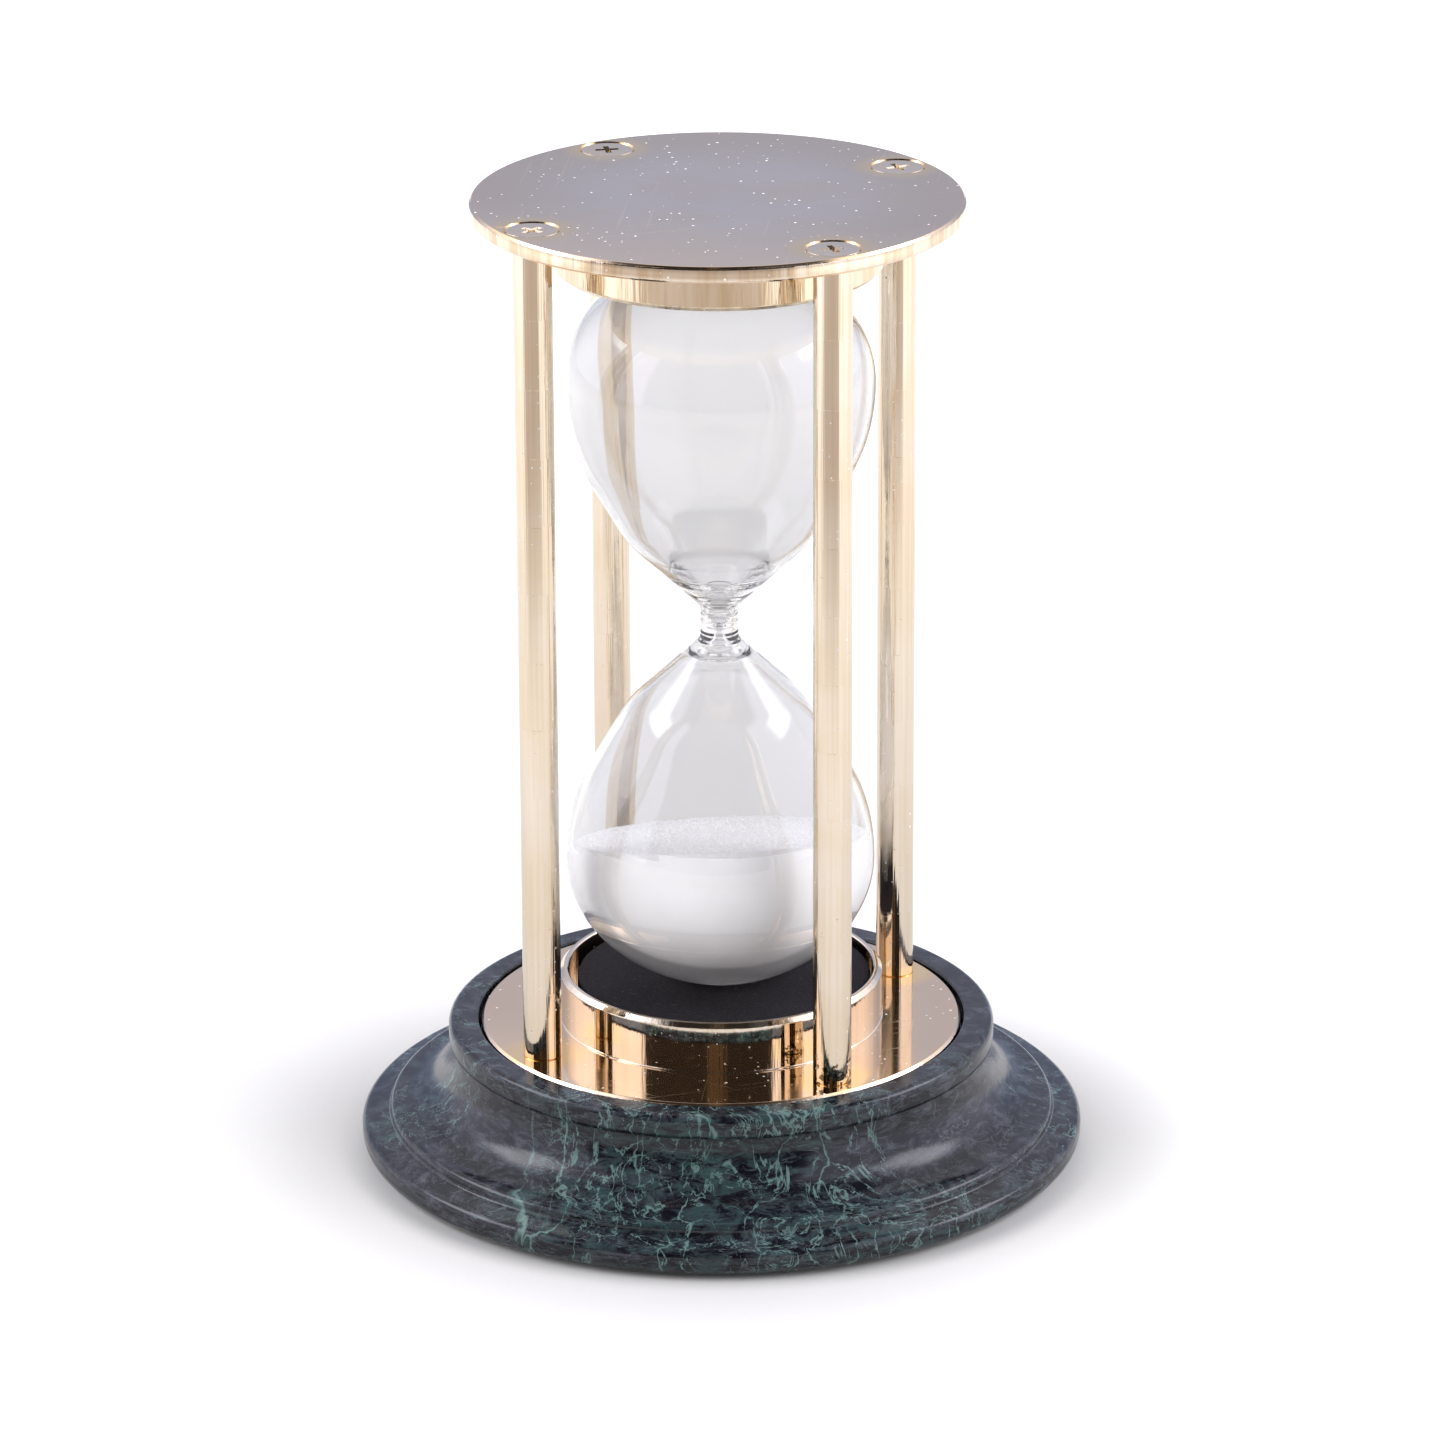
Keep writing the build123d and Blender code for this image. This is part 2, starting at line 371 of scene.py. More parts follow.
print("lathe inputs", [i.name for i in LATHE.interface.items_tree if i.item_type == "SOCKET"])

# %% [markdown]
# ## Round the column circle
#
# Four columns, eight screws and eight screw holes all stand on the same circle, on the diagonals. One tree
# sets copies of any piece there. Real screws stop at whatever angle they were tightened to, so each copy
# can be given its own turn, drawn from a fixed seed.

# %% Build the tree that repeats a piece on the column circle
def build_circle():
    tree, given, result = new_group("Column Circle", "GeometryNodeTree", [
        ("Geometry", GEOMETRY, None), ("Piece", OBJECT, None), ("Count", INTEGER, 4),
        ("Circle Radius", FLOAT, 0.03), ("First Angle", FLOAT, math.pi / 4), ("Loose Turn", FLOAT, 0.0),
        ("Seed", INTEGER, 1), ("Finish", MATERIAL, None),
    ], [("Geometry", GEOMETRY)])
    ring = add(tree, "GeometryNodeMeshCircle",
               {"Vertices": given.outputs["Count"], "Radius": given.outputs["Circle Radius"]})
    place = add(tree, "GeometryNodeInputPosition").outputs[0]
    turned = add(tree, "ShaderNodeVectorRotate", {"Vector": place, "Angle": given.outputs["First Angle"]},
                 rotation_type="Z_AXIS")
    stood = add(tree, "GeometryNodeSetPosition", {"Geometry": ring.outputs[0], "Position": turned.outputs[0]})
    loose = add(tree, "FunctionNodeRandomValue", {"Seed": given.outputs["Seed"]}, data_type="FLOAT")
    spin = times(tree, live(loose.outputs), given.outputs["Loose Turn"])
    angles = add(tree, "ShaderNodeCombineXYZ", {"Z": spin}).outputs[0]
    piece = add(tree, "GeometryNodeObjectInfo", {"Object": given.outputs["Piece"], "As Instance": True},
                transform_space="ORIGINAL")
    copies = add(tree, "GeometryNodeInstanceOnPoints",
                 {"Points": stood.outputs[0], "Instance": piece.outputs["Geometry"], "Rotation": angles})
    end_tree(tree, copies.outputs[0], given, result)
    return tree


CIRCLE = build_circle()


def around(name, piece, finish, loose_turn=0.0, seed=1):
    """Four copies of a piece on the column circle, as one mesh; the pattern piece is dropped."""
    start = mesh_object(name + "_start", [])
    made = run_tree(name, start, CIRCLE, {
        "Piece": piece, "Count": len(PLACES), "Circle Radius": post_circle, "First Angle": math.pi / 4,
        "Loose Turn": loose_turn, "Seed": seed, "Finish": finish,
    })
    drop(piece)
    return made


print("circle inputs", [i.name for i in CIRCLE.interface.items_tree if i.item_type == "SOCKET"])

# %% [markdown]
# ## Wear that several finishes share
#
# Polished metal is never clean: it has hairlines from the cloth, pinholes and dust. Each effect is a
# shader group with named inputs, so that a disc, a column and a ring can use it at their own strength.
# Hairlines are noise stretched fifty times along one direction, in three directions, cut at a high level so
# that only thin streaks are left. Specks are the middles of scattered cells, of which only a share is kept.

# %% Shared shader groups
def build_hairlines():
    tree, given, result = new_group("Hairlines", "ShaderNodeTree", [
        ("Vector", VECTOR, None), ("Scale", FLOAT, 900.0), ("Stretch", FLOAT, 0.02), ("Level", FLOAT, 0.66),
    ], [("Mask", FLOAT)])
    total = None
    for turn_by, lift in ((0.35, 0.0), (1.45, 3.1), (2.6, 7.7)):
        turned = add(tree, "ShaderNodeVectorRotate", {"Vector": given.outputs["Vector"], "Angle": turn_by},
                     rotation_type="Z_AXIS")
        stretch = add(tree, "ShaderNodeCombineXYZ", {"X": given.outputs["Stretch"], "Y": 1.0, "Z": 1.0})
        drawn_out = scaled(tree, turned.outputs[0], stretch.outputs[0])
        pattern = add(tree, "ShaderNodeTexNoise",
                      {"Vector": drawn_out, "W": lift, "Scale": given.outputs["Scale"], "Detail": 1.0},
                      noise_dimensions="4D")
        line = ramp(tree, pattern.outputs[0], given.outputs["Level"],
                    plus(tree, given.outputs["Level"], 0.05))
        total = line if total is None else calc(tree, "MAXIMUM", total, line)
    tree.links.new(total, result.inputs["Mask"])
    return tree


def build_specks():
    tree, given, result = new_group("Specks", "ShaderNodeTree", [
        ("Vector", VECTOR, None), ("Scale", FLOAT, 500.0), ("Size", FLOAT, 0.15), ("Share", FLOAT, 0.1),
    ], [("Mask", FLOAT)])
    cells = add(tree, "ShaderNodeTexVoronoi", {"Vector": given.outputs["Vector"],
                                               "Scale": given.outputs["Scale"]})
    parts = add(tree, "ShaderNodeSeparateColor", {0: cells.outputs["Color"]})
    own_size = times(tree, given.outputs["Size"], plus(tree, parts.outputs[1], 0.3))
    near = ramp(tree, cells.outputs["Distance"], own_size, times(tree, own_size, 0.6))
    kept = calc(tree, "LESS_THAN", parts.outputs[0], given.outputs["Share"])
    tree.links.new(times(tree, near, kept), result.inputs["Mask"])
    return tree


HAIRLINES = build_hairlines()
SPECKS = build_specks()
print("wear groups", HAIRLINES.name, SPECKS.name)


# %% [markdown]
# ## Polished brass
#
# Lacquered brass mirrors its surroundings, with a cream tint where it mirrors white. The shader is a plain
# metal of low roughness. Most else is wear: hairlines that scatter a little, specks of dust that
# stand out pale or dark, soft smudges in the roughness, and for turned rods and rings long streaks that
# follow the turning, read from the UV map of the lathe. Some is painted light: the discs get a painted
# reflection, lighter on their front half and golden round the screws, and the recesses a glowing gold.

# %% Brass finishes
STREAK_EDGES = 0.36, 0.66
DUST_GREY, PINHOLE_BROWN, SOOT = (0.80, 0.80, 0.80, 1.0), (0.14, 0.11, 0.09, 1.0), (0.05, 0.035, 0.025, 1.0)


def turned_marks(along, around_axis):
    """Streaks on the lathe's UV map: how often they change along the outline and round the axis."""
    def marks(tree, space):
        uv = add(tree, "ShaderNodeUVMap", uv_map="UVMap").outputs[0]
        spread = scaled(tree, uv, (along, around_axis, 1.0))
        return ramp(tree, noise(tree, spread, 1.0, 3.0, Roughness=0.65), *STREAK_EDGES)
    return marks


def brass(name, tint, roughness, hairline=0.25, dust=0.5, marks=None, depth=0.0, stain=0.0, pits=0.0,
          extra=None,
          shine=1.0):
    """Marks draws streaks, which are so deep and so stained; extra repaints the colour."""
    material, tree, shader = new_material(name)
    space = add(tree, "ShaderNodeTexCoord").outputs["Object"]
    lines = use_group(tree, HAIRLINES, {"Vector": space, "Scale": 1500.0, "Level": 0.67}).outputs["Mask"]
    specks = use_group(tree, SPECKS, {"Vector": space, "Scale": 700.0, "Size": 0.17,
                                      "Share": 0.34}).outputs[0]
    tiny = use_group(tree, SPECKS, {"Vector": space, "Scale": 700.0, "Size": 0.13,
                                    "Share": 0.035 + pits}).outputs[0]
    cloud = noise(tree, space, 60.0, 3.0)
    # colour: the tint, a little warmer and deeper in the clouds, with dark pinholes
    deep = tuple(c * d for c, d in zip(tint, (0.97, 0.93, 0.86))) + (1.0,)
    colour = blend(tree, ramp(tree, cloud, 0.35, 0.7), tint + (1.0,), deep)
    if extra:
        colour = extra(tree, space, colour)
    height = 0.0
    if marks:
        streak = marks(tree, space)
        height = times(tree, streak, depth)
        stained = tuple(c * d for c, d in zip(tint, (0.80, 0.72, 0.55))) + (1.0,)
        colour = blend(tree, times(tree, streak, stain), colour, stained)
    colour = blend(tree, times(tree, tiny, 0.8), colour, PINHOLE_BROWN)
    # dust is not metal: where a speck lies, the surface is matt and pale
    pale = times(tree, specks, dust)
    colour = blend(tree, pale, colour, DUST_GREY)
    tree.links.new(colour, shader.inputs["Base Color"])
    tree.links.new(times(tree, minus(tree, 1.0, pale), shine), shader.inputs["Metallic"])
    # roughness: clouds, hairlines, dust
    rough = ramp(tree, cloud, 0.3, 0.75, roughness, roughness * 1.6)
    rough = plus(tree, rough, times(tree, lines, hairline * 0.35))
    rough = calc(tree, "ADD", rough, times(tree, pale, 0.6), clamp=True)
    tree.links.new(rough, shader.inputs["Roughness"])
    # height: the streaks of the turning, hairlines and pinholes
    height = minus(tree, height, times(tree, lines, hairline * 0.2))
    height = minus(tree, height, times(tree, tiny, 0.5))
    bump = add(tree, "ShaderNodeBump", {"Strength": 0.25, "Distance": 0.00003, "Height": height})
    tree.links.new(bump.outputs[0], shader.inputs["Normal"])
    return material


RIM_DEPTH = 0.15 * MM


def sawn_rim(tree, space):
    """Upright marks on the rim of a disc, and none on its faces."""
    marks = noise(tree, scaled(tree, space, (1.0, 1.0, 0.03)), 420.0, 3.0)
    rim = calc(tree, "GREATER_THAN", from_axis(tree, space), plate_radius - RIM_DEPTH)
    return times(tree, ramp(tree, marks, *STREAK_EDGES), rim)


def handled_edge(tree, space, colour):
    """Disc colour: cooler in the middle and warmer towards its edge, with a painted reflection that lightens
    the front half and a painted golden glow round the screws.
    """
    parts = add(tree, "ShaderNodeSeparateXYZ", {0: space}).outputs
    radius = from_axis(tree, space)
    side = post_circle / math.sqrt(2)
    quarter = add(tree, "ShaderNodeVectorMath", {0: space}, operation="ABSOLUTE").outputs[0]
    from_post = add(tree, "ShaderNodeVectorMath", {0: quarter, 1: (side, side, 0.0)}, operation="SUBTRACT")
    off = from_axis(tree, from_post.outputs[0])
    rim = ramp(tree, radius, 16.0 * MM, 42.0 * MM)
    front = ramp(tree, parts[1], -5.0 * MM, -42.0 * MM)
    screw = ramp(tree, off, 9.5 * MM, 4.8 * MM)
    colour = blend(tree, rim, colour, (0.750, 0.570, 0.400, 1.0))
    # painted reflection: the front half of the disc is painted lighter and warmer
    colour = blend(tree, times(tree, front, 0.85), colour, (0.985, 0.735, 0.500, 1.0))
    # painted reflection: a golden glow painted round each screw
    colour = blend(tree, times(tree, screw, 0.75), colour, (1.0, 0.70, 0.34, 1.0))
    outside = calc(tree, "GREATER_THAN", radius, plate_radius - RIM_DEPTH)
    return blend(tree, outside, colour, (0.86, 0.745, 0.60, 1.0))


def sooty_foot(tree, space, colour):
    """Black speckle that has crept up the foot of the front right column."""
    middle = (post_low.x + post_radius, post_low.y + post_radius, post_low.z)
    foot = add(tree, "ShaderNodeVectorMath", {0: space, 1: middle}, operation="DISTANCE").outputs["Value"]
    near = ramp(tree, foot, 11.0 * MM, 3.0 * MM)
    soot = noise(tree, space, 1100.0, 4.0)
    level = minus(tree, 0.74, times(tree, near, 0.24))
    mask = ramp(tree, soot, level, plus(tree, level, 0.05))
    return blend(tree, times(tree, mask, calc(tree, "GREATER_THAN", near, 0.001)), colour,
                 SOOT)


CREAM_TINT = (0.83, 0.68, 0.545)
plate_brass = brass("plate_brass", CREAM_TINT, 0.07, hairline=0.35, dust=0.9, marks=sawn_rim, depth=6.0,
                    stain=0.75,
                    extra=handled_edge)
ring_brass = brass("ring_brass", (0.84, 0.73, 0.60), 0.045, hairline=0.2, marks=turned_marks(3.0, 120.0),
                   depth=1.5,
                   stain=0.22)
worn_ring_brass = brass("worn_ring_brass", (0.83, 0.72, 0.58), 0.05, hairline=0.2,
                        marks=turned_marks(3.0, 85.0),
                        depth=6.0, stain=0.75)
rod_brass = brass("rod_brass", (0.79, 0.695, 0.575), 0.05, hairline=0.15, marks=turned_marks(4.0, 22.0),
                  depth=4.0,
                  stain=0.34, pits=0.10, extra=sooty_foot)
screw_brass = brass("screw_brass", (0.88, 0.70, 0.50), 0.12, hairline=0.3, dust=0.2)
# painted glow and highlight: a bright gold that glows a little, for the screw recesses and countersinks,
# standing in for light caught between their walls
glowing_recess_brass = brass("glowing_recess_brass", (1.0, 0.78, 0.33), 0.35, hairline=0.3, dust=0.0, shine=0.25)
glow_shader = next(n for n in glowing_recess_brass.node_tree.nodes if n.type == "BSDF_PRINCIPLED")
glow_shader.inputs["Emission Color"].default_value = (1.0, 0.66, 0.20, 1.0)
glow_shader.inputs["Emission Strength"].default_value = 0.55
all_brass = [plate_brass, ring_brass, worn_ring_brass, rod_brass, screw_brass, glowing_recess_brass]
print("brass finishes", [finish.name for finish in all_brass])


# %% [markdown]
# ## Green marble
#
# The stone is a dark serpentine, almost black, with thin layers of grey and dull green, and a few long pale
# veins that bunch up on one side. Cell edges would give a net of polygons; real veins wander and split. So
# the fine crackle is the line where a twisted noise passes its middle value, kept only in patches, and each
# long vein is a flat sheet through the whole block, bent by noise, that shows wherever the turned surface
# cuts it. A polish leaves clear, wide highlights.

# %% Marble finish
def build_veins():
    tree, given, result = new_group("Veins", "ShaderNodeTree", [
        ("Vector", VECTOR, None), ("Scale", FLOAT, 60.0), ("Width", FLOAT, 0.03), ("Twist", FLOAT, 1.0),
        ("Patches", FLOAT, 30.0), ("Cover", FLOAT, 0.5),
    ], [("Mask", FLOAT)])
    vector, scale = given.outputs["Vector"], given.outputs["Scale"]
    field = noise(tree, vector, scale, 5.0, Roughness=0.62, Distortion=given.outputs["Twist"])
    off = distance_from(tree, field, 0.5)
    thin = noise(tree, vector, times(tree, scale, 4.0), 2.0)
    width = times(tree, given.outputs["Width"], ramp(tree, thin, 0.32, 0.68, 0.15, 1.9))
    line = ramp(tree, off, width, 0.0)
    patch = noise(tree, vector, given.outputs["Patches"], 3.0)
    edge = minus(tree, 1.0, given.outputs["Cover"])
    cover = ramp(tree, patch, minus(tree, edge, 0.07), plus(tree, edge, 0.09))
    tree.links.new(times(tree, line, cover), result.inputs["Mask"])
    return tree


def build_vein_sheet():
    tree, given, result = new_group("Vein Sheet", "ShaderNodeTree", [
        ("Vector", VECTOR, None), ("Facing", VECTOR, None), ("Offset", FLOAT, 0.0), ("Bend", FLOAT, 0.01),
        ("Waves", FLOAT, 62.0), ("Width", FLOAT, 0.0006), ("Seed", FLOAT, 0.0),
    ], [("Mask", FLOAT), ("Halo", FLOAT)])
    along = add(tree, "ShaderNodeVectorMath", {0: given.outputs["Vector"], 1: given.outputs["Facing"]},
                operation="DOT_PRODUCT").outputs["Value"]
    bend = add(tree, "ShaderNodeTexNoise", {"Vector": given.outputs["Vector"], "W": given.outputs["Seed"],
                                            "Scale": given.outputs["Waves"], "Detail": 5.0,
                                            "Roughness": 0.55},
               noise_dimensions="4D")
    push = times(tree, minus(tree, bend.outputs[0], 0.5), given.outputs["Bend"])
    off = distance_from(tree, plus(tree, along, push), given.outputs["Offset"])
    thin = noise(tree, given.outputs["Vector"], 300.0, 4.0)
    width = times(tree, given.outputs["Width"], ramp(tree, thin, 0.38, 0.66, 0.02, 2.0))
    tree.links.new(ramp(tree, off, width, 0.0), result.inputs["Mask"])
    wide = times(tree, given.outputs["Width"], 5.0)
    tree.links.new(ramp(tree, off, wide, 0.0), result.inputs["Halo"])
    return tree


VEINS = build_veins()
VEIN_SHEET = build_vein_sheet()
VEINED_SIDE = (13.0 * MM, -56.0 * MM, 12.0 * MM)
# each sheet: turn of its facing in degrees, offset and bend in mm, half width in mm, strength
VEIN_SHEETS = [(13.0, -19.0, 30.0, 0.70, 0.75), (25.0, -8.0, 34.0, 0.22, 0.55), (-4.0, 3.0, 30.0, 0.30, 0.60),
               (35.0, 14.0, 32.0, 0.24, 0.50), (8.0, 17.0, 30.0, 0.40, 0.60), (-20.0, 30.0, 34.0, 0.22, 0.50),
               (60.0, -30.0, 30.0, 0.20, 0.45)]
FLATTENED, DRAWN_UP = (1.0, 1.0, 3.2), (1.0, 1.0, 0.5)
NEAR_BLACK, STONE_GREY, DULL_GREEN = (0.0045, 0.0045, 0.0075, 1.0), (0.058, 0.062, 0.076, 1.0), (0.019,
                                                                                                 0.043,
                                                                                                 0.042, 1.0)
HAIR_GREY, CRACKLE_GREEN = (0.105, 0.135, 0.145, 1.0), (0.130, 0.215, 0.200, 1.0)
HALO_GREEN, VEIN_GREEN = (0.032, 0.072, 0.066, 1.0), (0.165, 0.270, 0.245, 1.0)


def marble():
    material, tree, shader = new_material("green_marble")
    space = add(tree, "ShaderNodeTexCoord").outputs["Object"]
    layers, upright = (add(tree, "ShaderNodeMapping",
                           {"Vector": space, "Rotation": tilt, "Scale": size}).outputs[0]
                       for tilt, size in (((0.12, 0.10, 0.4), FLATTENED), ((0.1, 0.25, 0.3), DRAWN_UP)))
    cluster = add(tree, "ShaderNodeVectorMath", {0: space, 1: VEINED_SIDE},
                  operation="DISTANCE").outputs["Value"]
    cluster = ramp(tree, cluster, 48.0 * MM, 18.0 * MM)
    # body: near black, with fine layers of grey and dull green
    clouds = noise(tree, layers, 42.0, 5.0, Roughness=0.62, Distortion=0.8)
    mottle = noise(tree, layers, 190.0, 7.0, Roughness=0.78, Distortion=0.7)
    grain = noise(tree, space, 1500.0, 3.0)
    colour = blend(tree, ramp(tree, mottle, 0.42, 0.72), NEAR_BLACK, STONE_GREY)
    green = times(tree, ramp(tree, mottle, 0.44, 0.66),
                 ramp(tree, plus(tree, clouds, times(tree, cluster, 0.10)), 0.47, 0.64))
    colour = blend(tree, green, colour, DULL_GREEN)
    # veins: a fine crackle everywhere, more of it on one side, and a few long sheets
    crackle = use_group(tree, VEINS, {"Vector": upright, "Scale": 95.0, "Width": 0.013, "Twist": 1.4,
                                      "Patches": 40.0,
                                      "Cover": ramp(tree, cluster, 0.0, 1.0, 0.46, 0.66)}).outputs["Mask"]
    hair = use_group(tree, VEINS, {"Vector": layers, "Scale": 120.0, "Width": 0.016, "Twist": 0.8,
                                   "Patches": 50.0, "Cover": 0.54}).outputs["Mask"]
    colour = blend(tree, times(tree, hair, 0.45), colour, HAIR_GREY)
    colour = blend(tree, times(tree, crackle, 0.75), colour, CRACKLE_GREEN)
    near = ramp(tree, cluster, 0.0, 0.45)
    for number, (turned, offset, bend, width, strength) in enumerate(VEIN_SHEETS):
        turned = math.radians(turned)
        facing = (math.cos(turned), math.sin(turned), 0.15 * math.sin(3.0 * number))
        sheet = use_group(tree, VEIN_SHEET, {"Vector": upright, "Facing": facing, "Offset": offset * MM,
                                             "Bend": bend * MM, "Width": width * MM,
                                             "Seed": 3.0 + 2.7 * number})
        halo = times(tree, times(tree, sheet.outputs["Halo"], ramp(tree, mottle, 0.42, 0.60)), near)
        colour = blend(tree, times(tree, halo, 0.4), colour, HALO_GREEN)
        line = times(tree, sheet.outputs["Mask"], near)
        colour = blend(tree, times(tree, line, strength), colour, VEIN_GREEN)
    tree.links.new(colour, shader.inputs["Base Color"])
    rough = plus(tree, ramp(tree, mottle, 0.42, 0.66, 0.07, 0.20), times(tree, crackle, 0.06))
    tree.links.new(rough, shader.inputs["Roughness"])
    relief = plus(tree, plus(tree, grain, crackle), times(tree, mottle, 3.0))
    bump = add(tree, "ShaderNodeBump", {"Strength": 0.16, "Distance": 0.00006, "Height": relief})
    tree.links.new(bump.outputs[0], shader.inputs["Normal"])
    shader.inputs["Specular IOR Level"].default_value = 0.34
    return material


green_marble = marble()
print("marble", green_marble.name)


# %% [markdown]
# ## Foam, felt, sand and glass
#
# Foam is black and full of tiny cells, so it only shows as dark speckle. Felt is a mat of fibres, with a
# light fuzz. The sand is bleached and very fine: single grains show only as faint speckle. The glass is
# clear outside and greyed inside by the film of dust that the sand leaves, and below the sand's top it is
# whitened by the sand that lies against it. All let light straight through when they cast a shadow, because
# a refracted shadow under glass this thin would be noise and not light.

# %% Foam, felt, sand and glass finishes
def foam():
    material, tree, shader = new_material("black_foam")
    space = add(tree, "ShaderNodeTexCoord").outputs["Object"]
    cells = add(tree, "ShaderNodeTexVoronoi", {"Vector": space, "Scale": 2600.0}).outputs["Distance"]
    fleck = use_group(tree, SPECKS, {"Vector": space, "Scale": 1500.0, "Size": 0.35,
                                     "Share": 0.22}).outputs["Mask"]
    cloud = noise(tree, space, 160.0, 3.0)
    colour = blend(tree, ramp(tree, cells, 0.15, 0.7), (0.006, 0.005, 0.006, 1.0), (0.021, 0.018, 0.021, 1.0))
    colour = blend(tree, times(tree, fleck, ramp(tree, cloud, 0.4, 0.65, 0.15, 0.6)), colour,
                   (0.085, 0.076, 0.086, 1.0))
    tree.links.new(colour, shader.inputs["Base Color"])
    bump = add(tree, "ShaderNodeBump", {"Strength": 0.6, "Distance": 0.00012, "Height": cells})
    tree.links.new(bump.outputs[0], shader.inputs["Normal"])
    shader.inputs["Roughness"].default_value = 0.85
    shader.inputs["Specular IOR Level"].default_value = 0.25
    return material


def felt():
    material, tree, shader = new_material("black_felt")
    space = add(tree, "ShaderNodeTexCoord").outputs["Object"]
    fibre = use_group(tree, HAIRLINES, {"Vector": space, "Scale": 1600.0, "Stretch": 0.09,
                                        "Level": 0.56}).outputs["Mask"]
    cloud = noise(tree, space, 240.0, 4.0)
    colour = blend(tree, ramp(tree, cloud, 0.3, 0.7), (0.008, 0.009, 0.009, 1.0), (0.020, 0.022, 0.022, 1.0))
    colour = blend(tree, times(tree, fibre, 0.6), colour, (0.060, 0.064, 0.064, 1.0))
    tree.links.new(colour, shader.inputs["Base Color"])
    bump = add(tree, "ShaderNodeBump", {"Strength": 0.7, "Distance": 0.0001,
                                        "Height": plus(tree, fibre, cloud)})
    tree.links.new(bump.outputs[0], shader.inputs["Normal"])
    shader.inputs["Roughness"].default_value = 0.95
    shader.inputs["Sheen Weight"].default_value = 0.06
    return material


def sand_finish():
    material, tree, shader = new_material("white_sand")
    space = add(tree, "ShaderNodeTexCoord").outputs["Object"]
    grains = add(tree, "ShaderNodeTexVoronoi", {"Vector": space, "Scale": 4200.0})
    tone = add(tree, "ShaderNodeSeparateColor", {0: grains.outputs["Color"]}).outputs[0]
    cloud = noise(tree, space, 110.0, 4.0)
    colour = blend(tree, tone, (0.84, 0.83, 0.83, 1.0), (0.95, 0.945, 0.95, 1.0))
    colour = blend(tree, times(tree, ramp(tree, cloud, 0.45, 0.75), 0.3), colour, (0.82, 0.81, 0.82, 1.0))
    # painted shade: the upward-facing loose top is painted darker than the sides that lie flat against the
    # glass
    normal = add(tree, "ShaderNodeNewGeometry").outputs["Normal"]
    facing = add(tree, "ShaderNodeSeparateXYZ", {0: normal}).outputs[2]
    colour = blend(tree, times(tree, ramp(tree, facing, 0.5, 0.9), 0.85), colour,
                   (0.79, 0.78, 0.80, 1.0))
    tree.links.new(colour, shader.inputs["Base Color"])
    bump = add(tree, "ShaderNodeBump", {"Strength": 0.5, "Distance": 0.00008,
                                        "Height": grains.outputs["Distance"]})
    tree.links.new(bump.outputs[0], shader.inputs["Normal"])
    shader.inputs["Roughness"].default_value = 0.9
    shader.inputs["Specular IOR Level"].default_value = 0.3
    # painted glow: an even emission stands in for light that wanders between the clear grains, so the bottom
    # isn't black
    shader.inputs["Emission Color"].default_value = (1.0, 0.985, 0.98, 1.0)
    shader.inputs["Emission Strength"].default_value = 0.07
    return material


END_GLOW_WHITE, UNLIT = (0.82, 0.80, 0.79, 1.0), (0.0, 0.0, 0.0, 1.0)


def lit_end(tree, space):
    """Painted glow: bright rings of emission along the edge of the thick lower end, standing in for light it
    gathers from all round.
    """
    height = add(tree, "ShaderNodeSeparateXYZ", {0: space}).outputs[2]
    rings = noise(tree, scaled(tree, space, (0.12, 0.12, 1.0)), 900.0, 2.0)
    low_end = ramp(tree, height, glass_bottom + 4.0 * MM, glass_bottom + 0.8 * MM)
    outer = ramp(tree, from_axis(tree, space), 9.0 * MM, 14.0 * MM)
    glow = times(tree, times(tree, low_end, outer), ramp(tree, rings, 0.42, 0.60, 0.15, 1.0))
    return blend(tree, glow, UNLIT, END_GLOW_WHITE)


def glass_finish(name, tint, shadow, clear=1.0, end_glow=0.0):
    """Clear is the share of light that goes through; a thin film takes the rest."""
    material, tree, shader = new_material(name)
    space = add(tree, "ShaderNodeTexCoord").outputs["Object"]
    draw = noise(tree, scaled(tree, space, (1.0, 1.0, 0.06)), 260.0, 1.0)
    bump = add(tree, "ShaderNodeBump", {"Strength": 0.08, "Distance": 0.00004, "Height": draw})
    tree.links.new(bump.outputs[0], shader.inputs["Normal"])
    if end_glow:
        tree.links.new(lit_end(tree, space), shader.inputs["Emission Color"])
        shader.inputs["Emission Strength"].default_value = end_glow
    shader.inputs["Base Color"].default_value = tint
    shader.inputs["Roughness"].default_value = 0.0
    shader.inputs["Transmission Weight"].default_value = clear
    shader.inputs["IOR"].default_value = 1.5
    through_it = add(tree, "ShaderNodeBsdfTransparent", {"Color": shadow})
    path = add(tree, "ShaderNodeLightPath")
    mix = add(tree, "ShaderNodeMixShader", {0: path.outputs["Is Shadow Ray"], 1: shader.outputs[0],
                                            2: through_it.outputs[0]})
    output = next(n for n in tree.nodes if n.type == "OUTPUT_MATERIAL")
    tree.links.new(mix.outputs[0], output.inputs[0])
    return material


black_foam, black_felt, white_sand = foam(), felt(), sand_finish()
# the clear glass has a painted glow along its lower end
clear_glass = glass_finish("clear_glass", (0.98, 0.98, 0.985, 1.0), (0.97, 0.97, 0.975, 1.0), end_glow=1.1)
dusty_glass = glass_finish("dusty_glass", (0.75, 0.745, 0.755, 1.0), (0.92, 0.92, 0.93, 1.0), clear=0.95)
sandy_glass = glass_finish("sandy_glass", (0.86, 0.85, 0.86, 1.0), (0.92, 0.92, 0.93, 1.0), clear=0.55)
all_soft_and_clear = [black_foam, black_felt, white_sand, clear_glass, dusty_glass, sandy_glass]
print("soft and clear finishes", [finish.name for finish in all_soft_and_clear])

# %% [markdown]
# ## Marble base
#
# A base like this is turned on a lathe from one blank: a rounded bead round the recess, a narrow neck under
# it, a quarter-round cove, a rounded crest, a small step and a wide flange that falls slightly to its
# edge. The outline is drawn once, from the middle of the recess to the middle of the underside, with every
# hard corner eased a little, and spun.

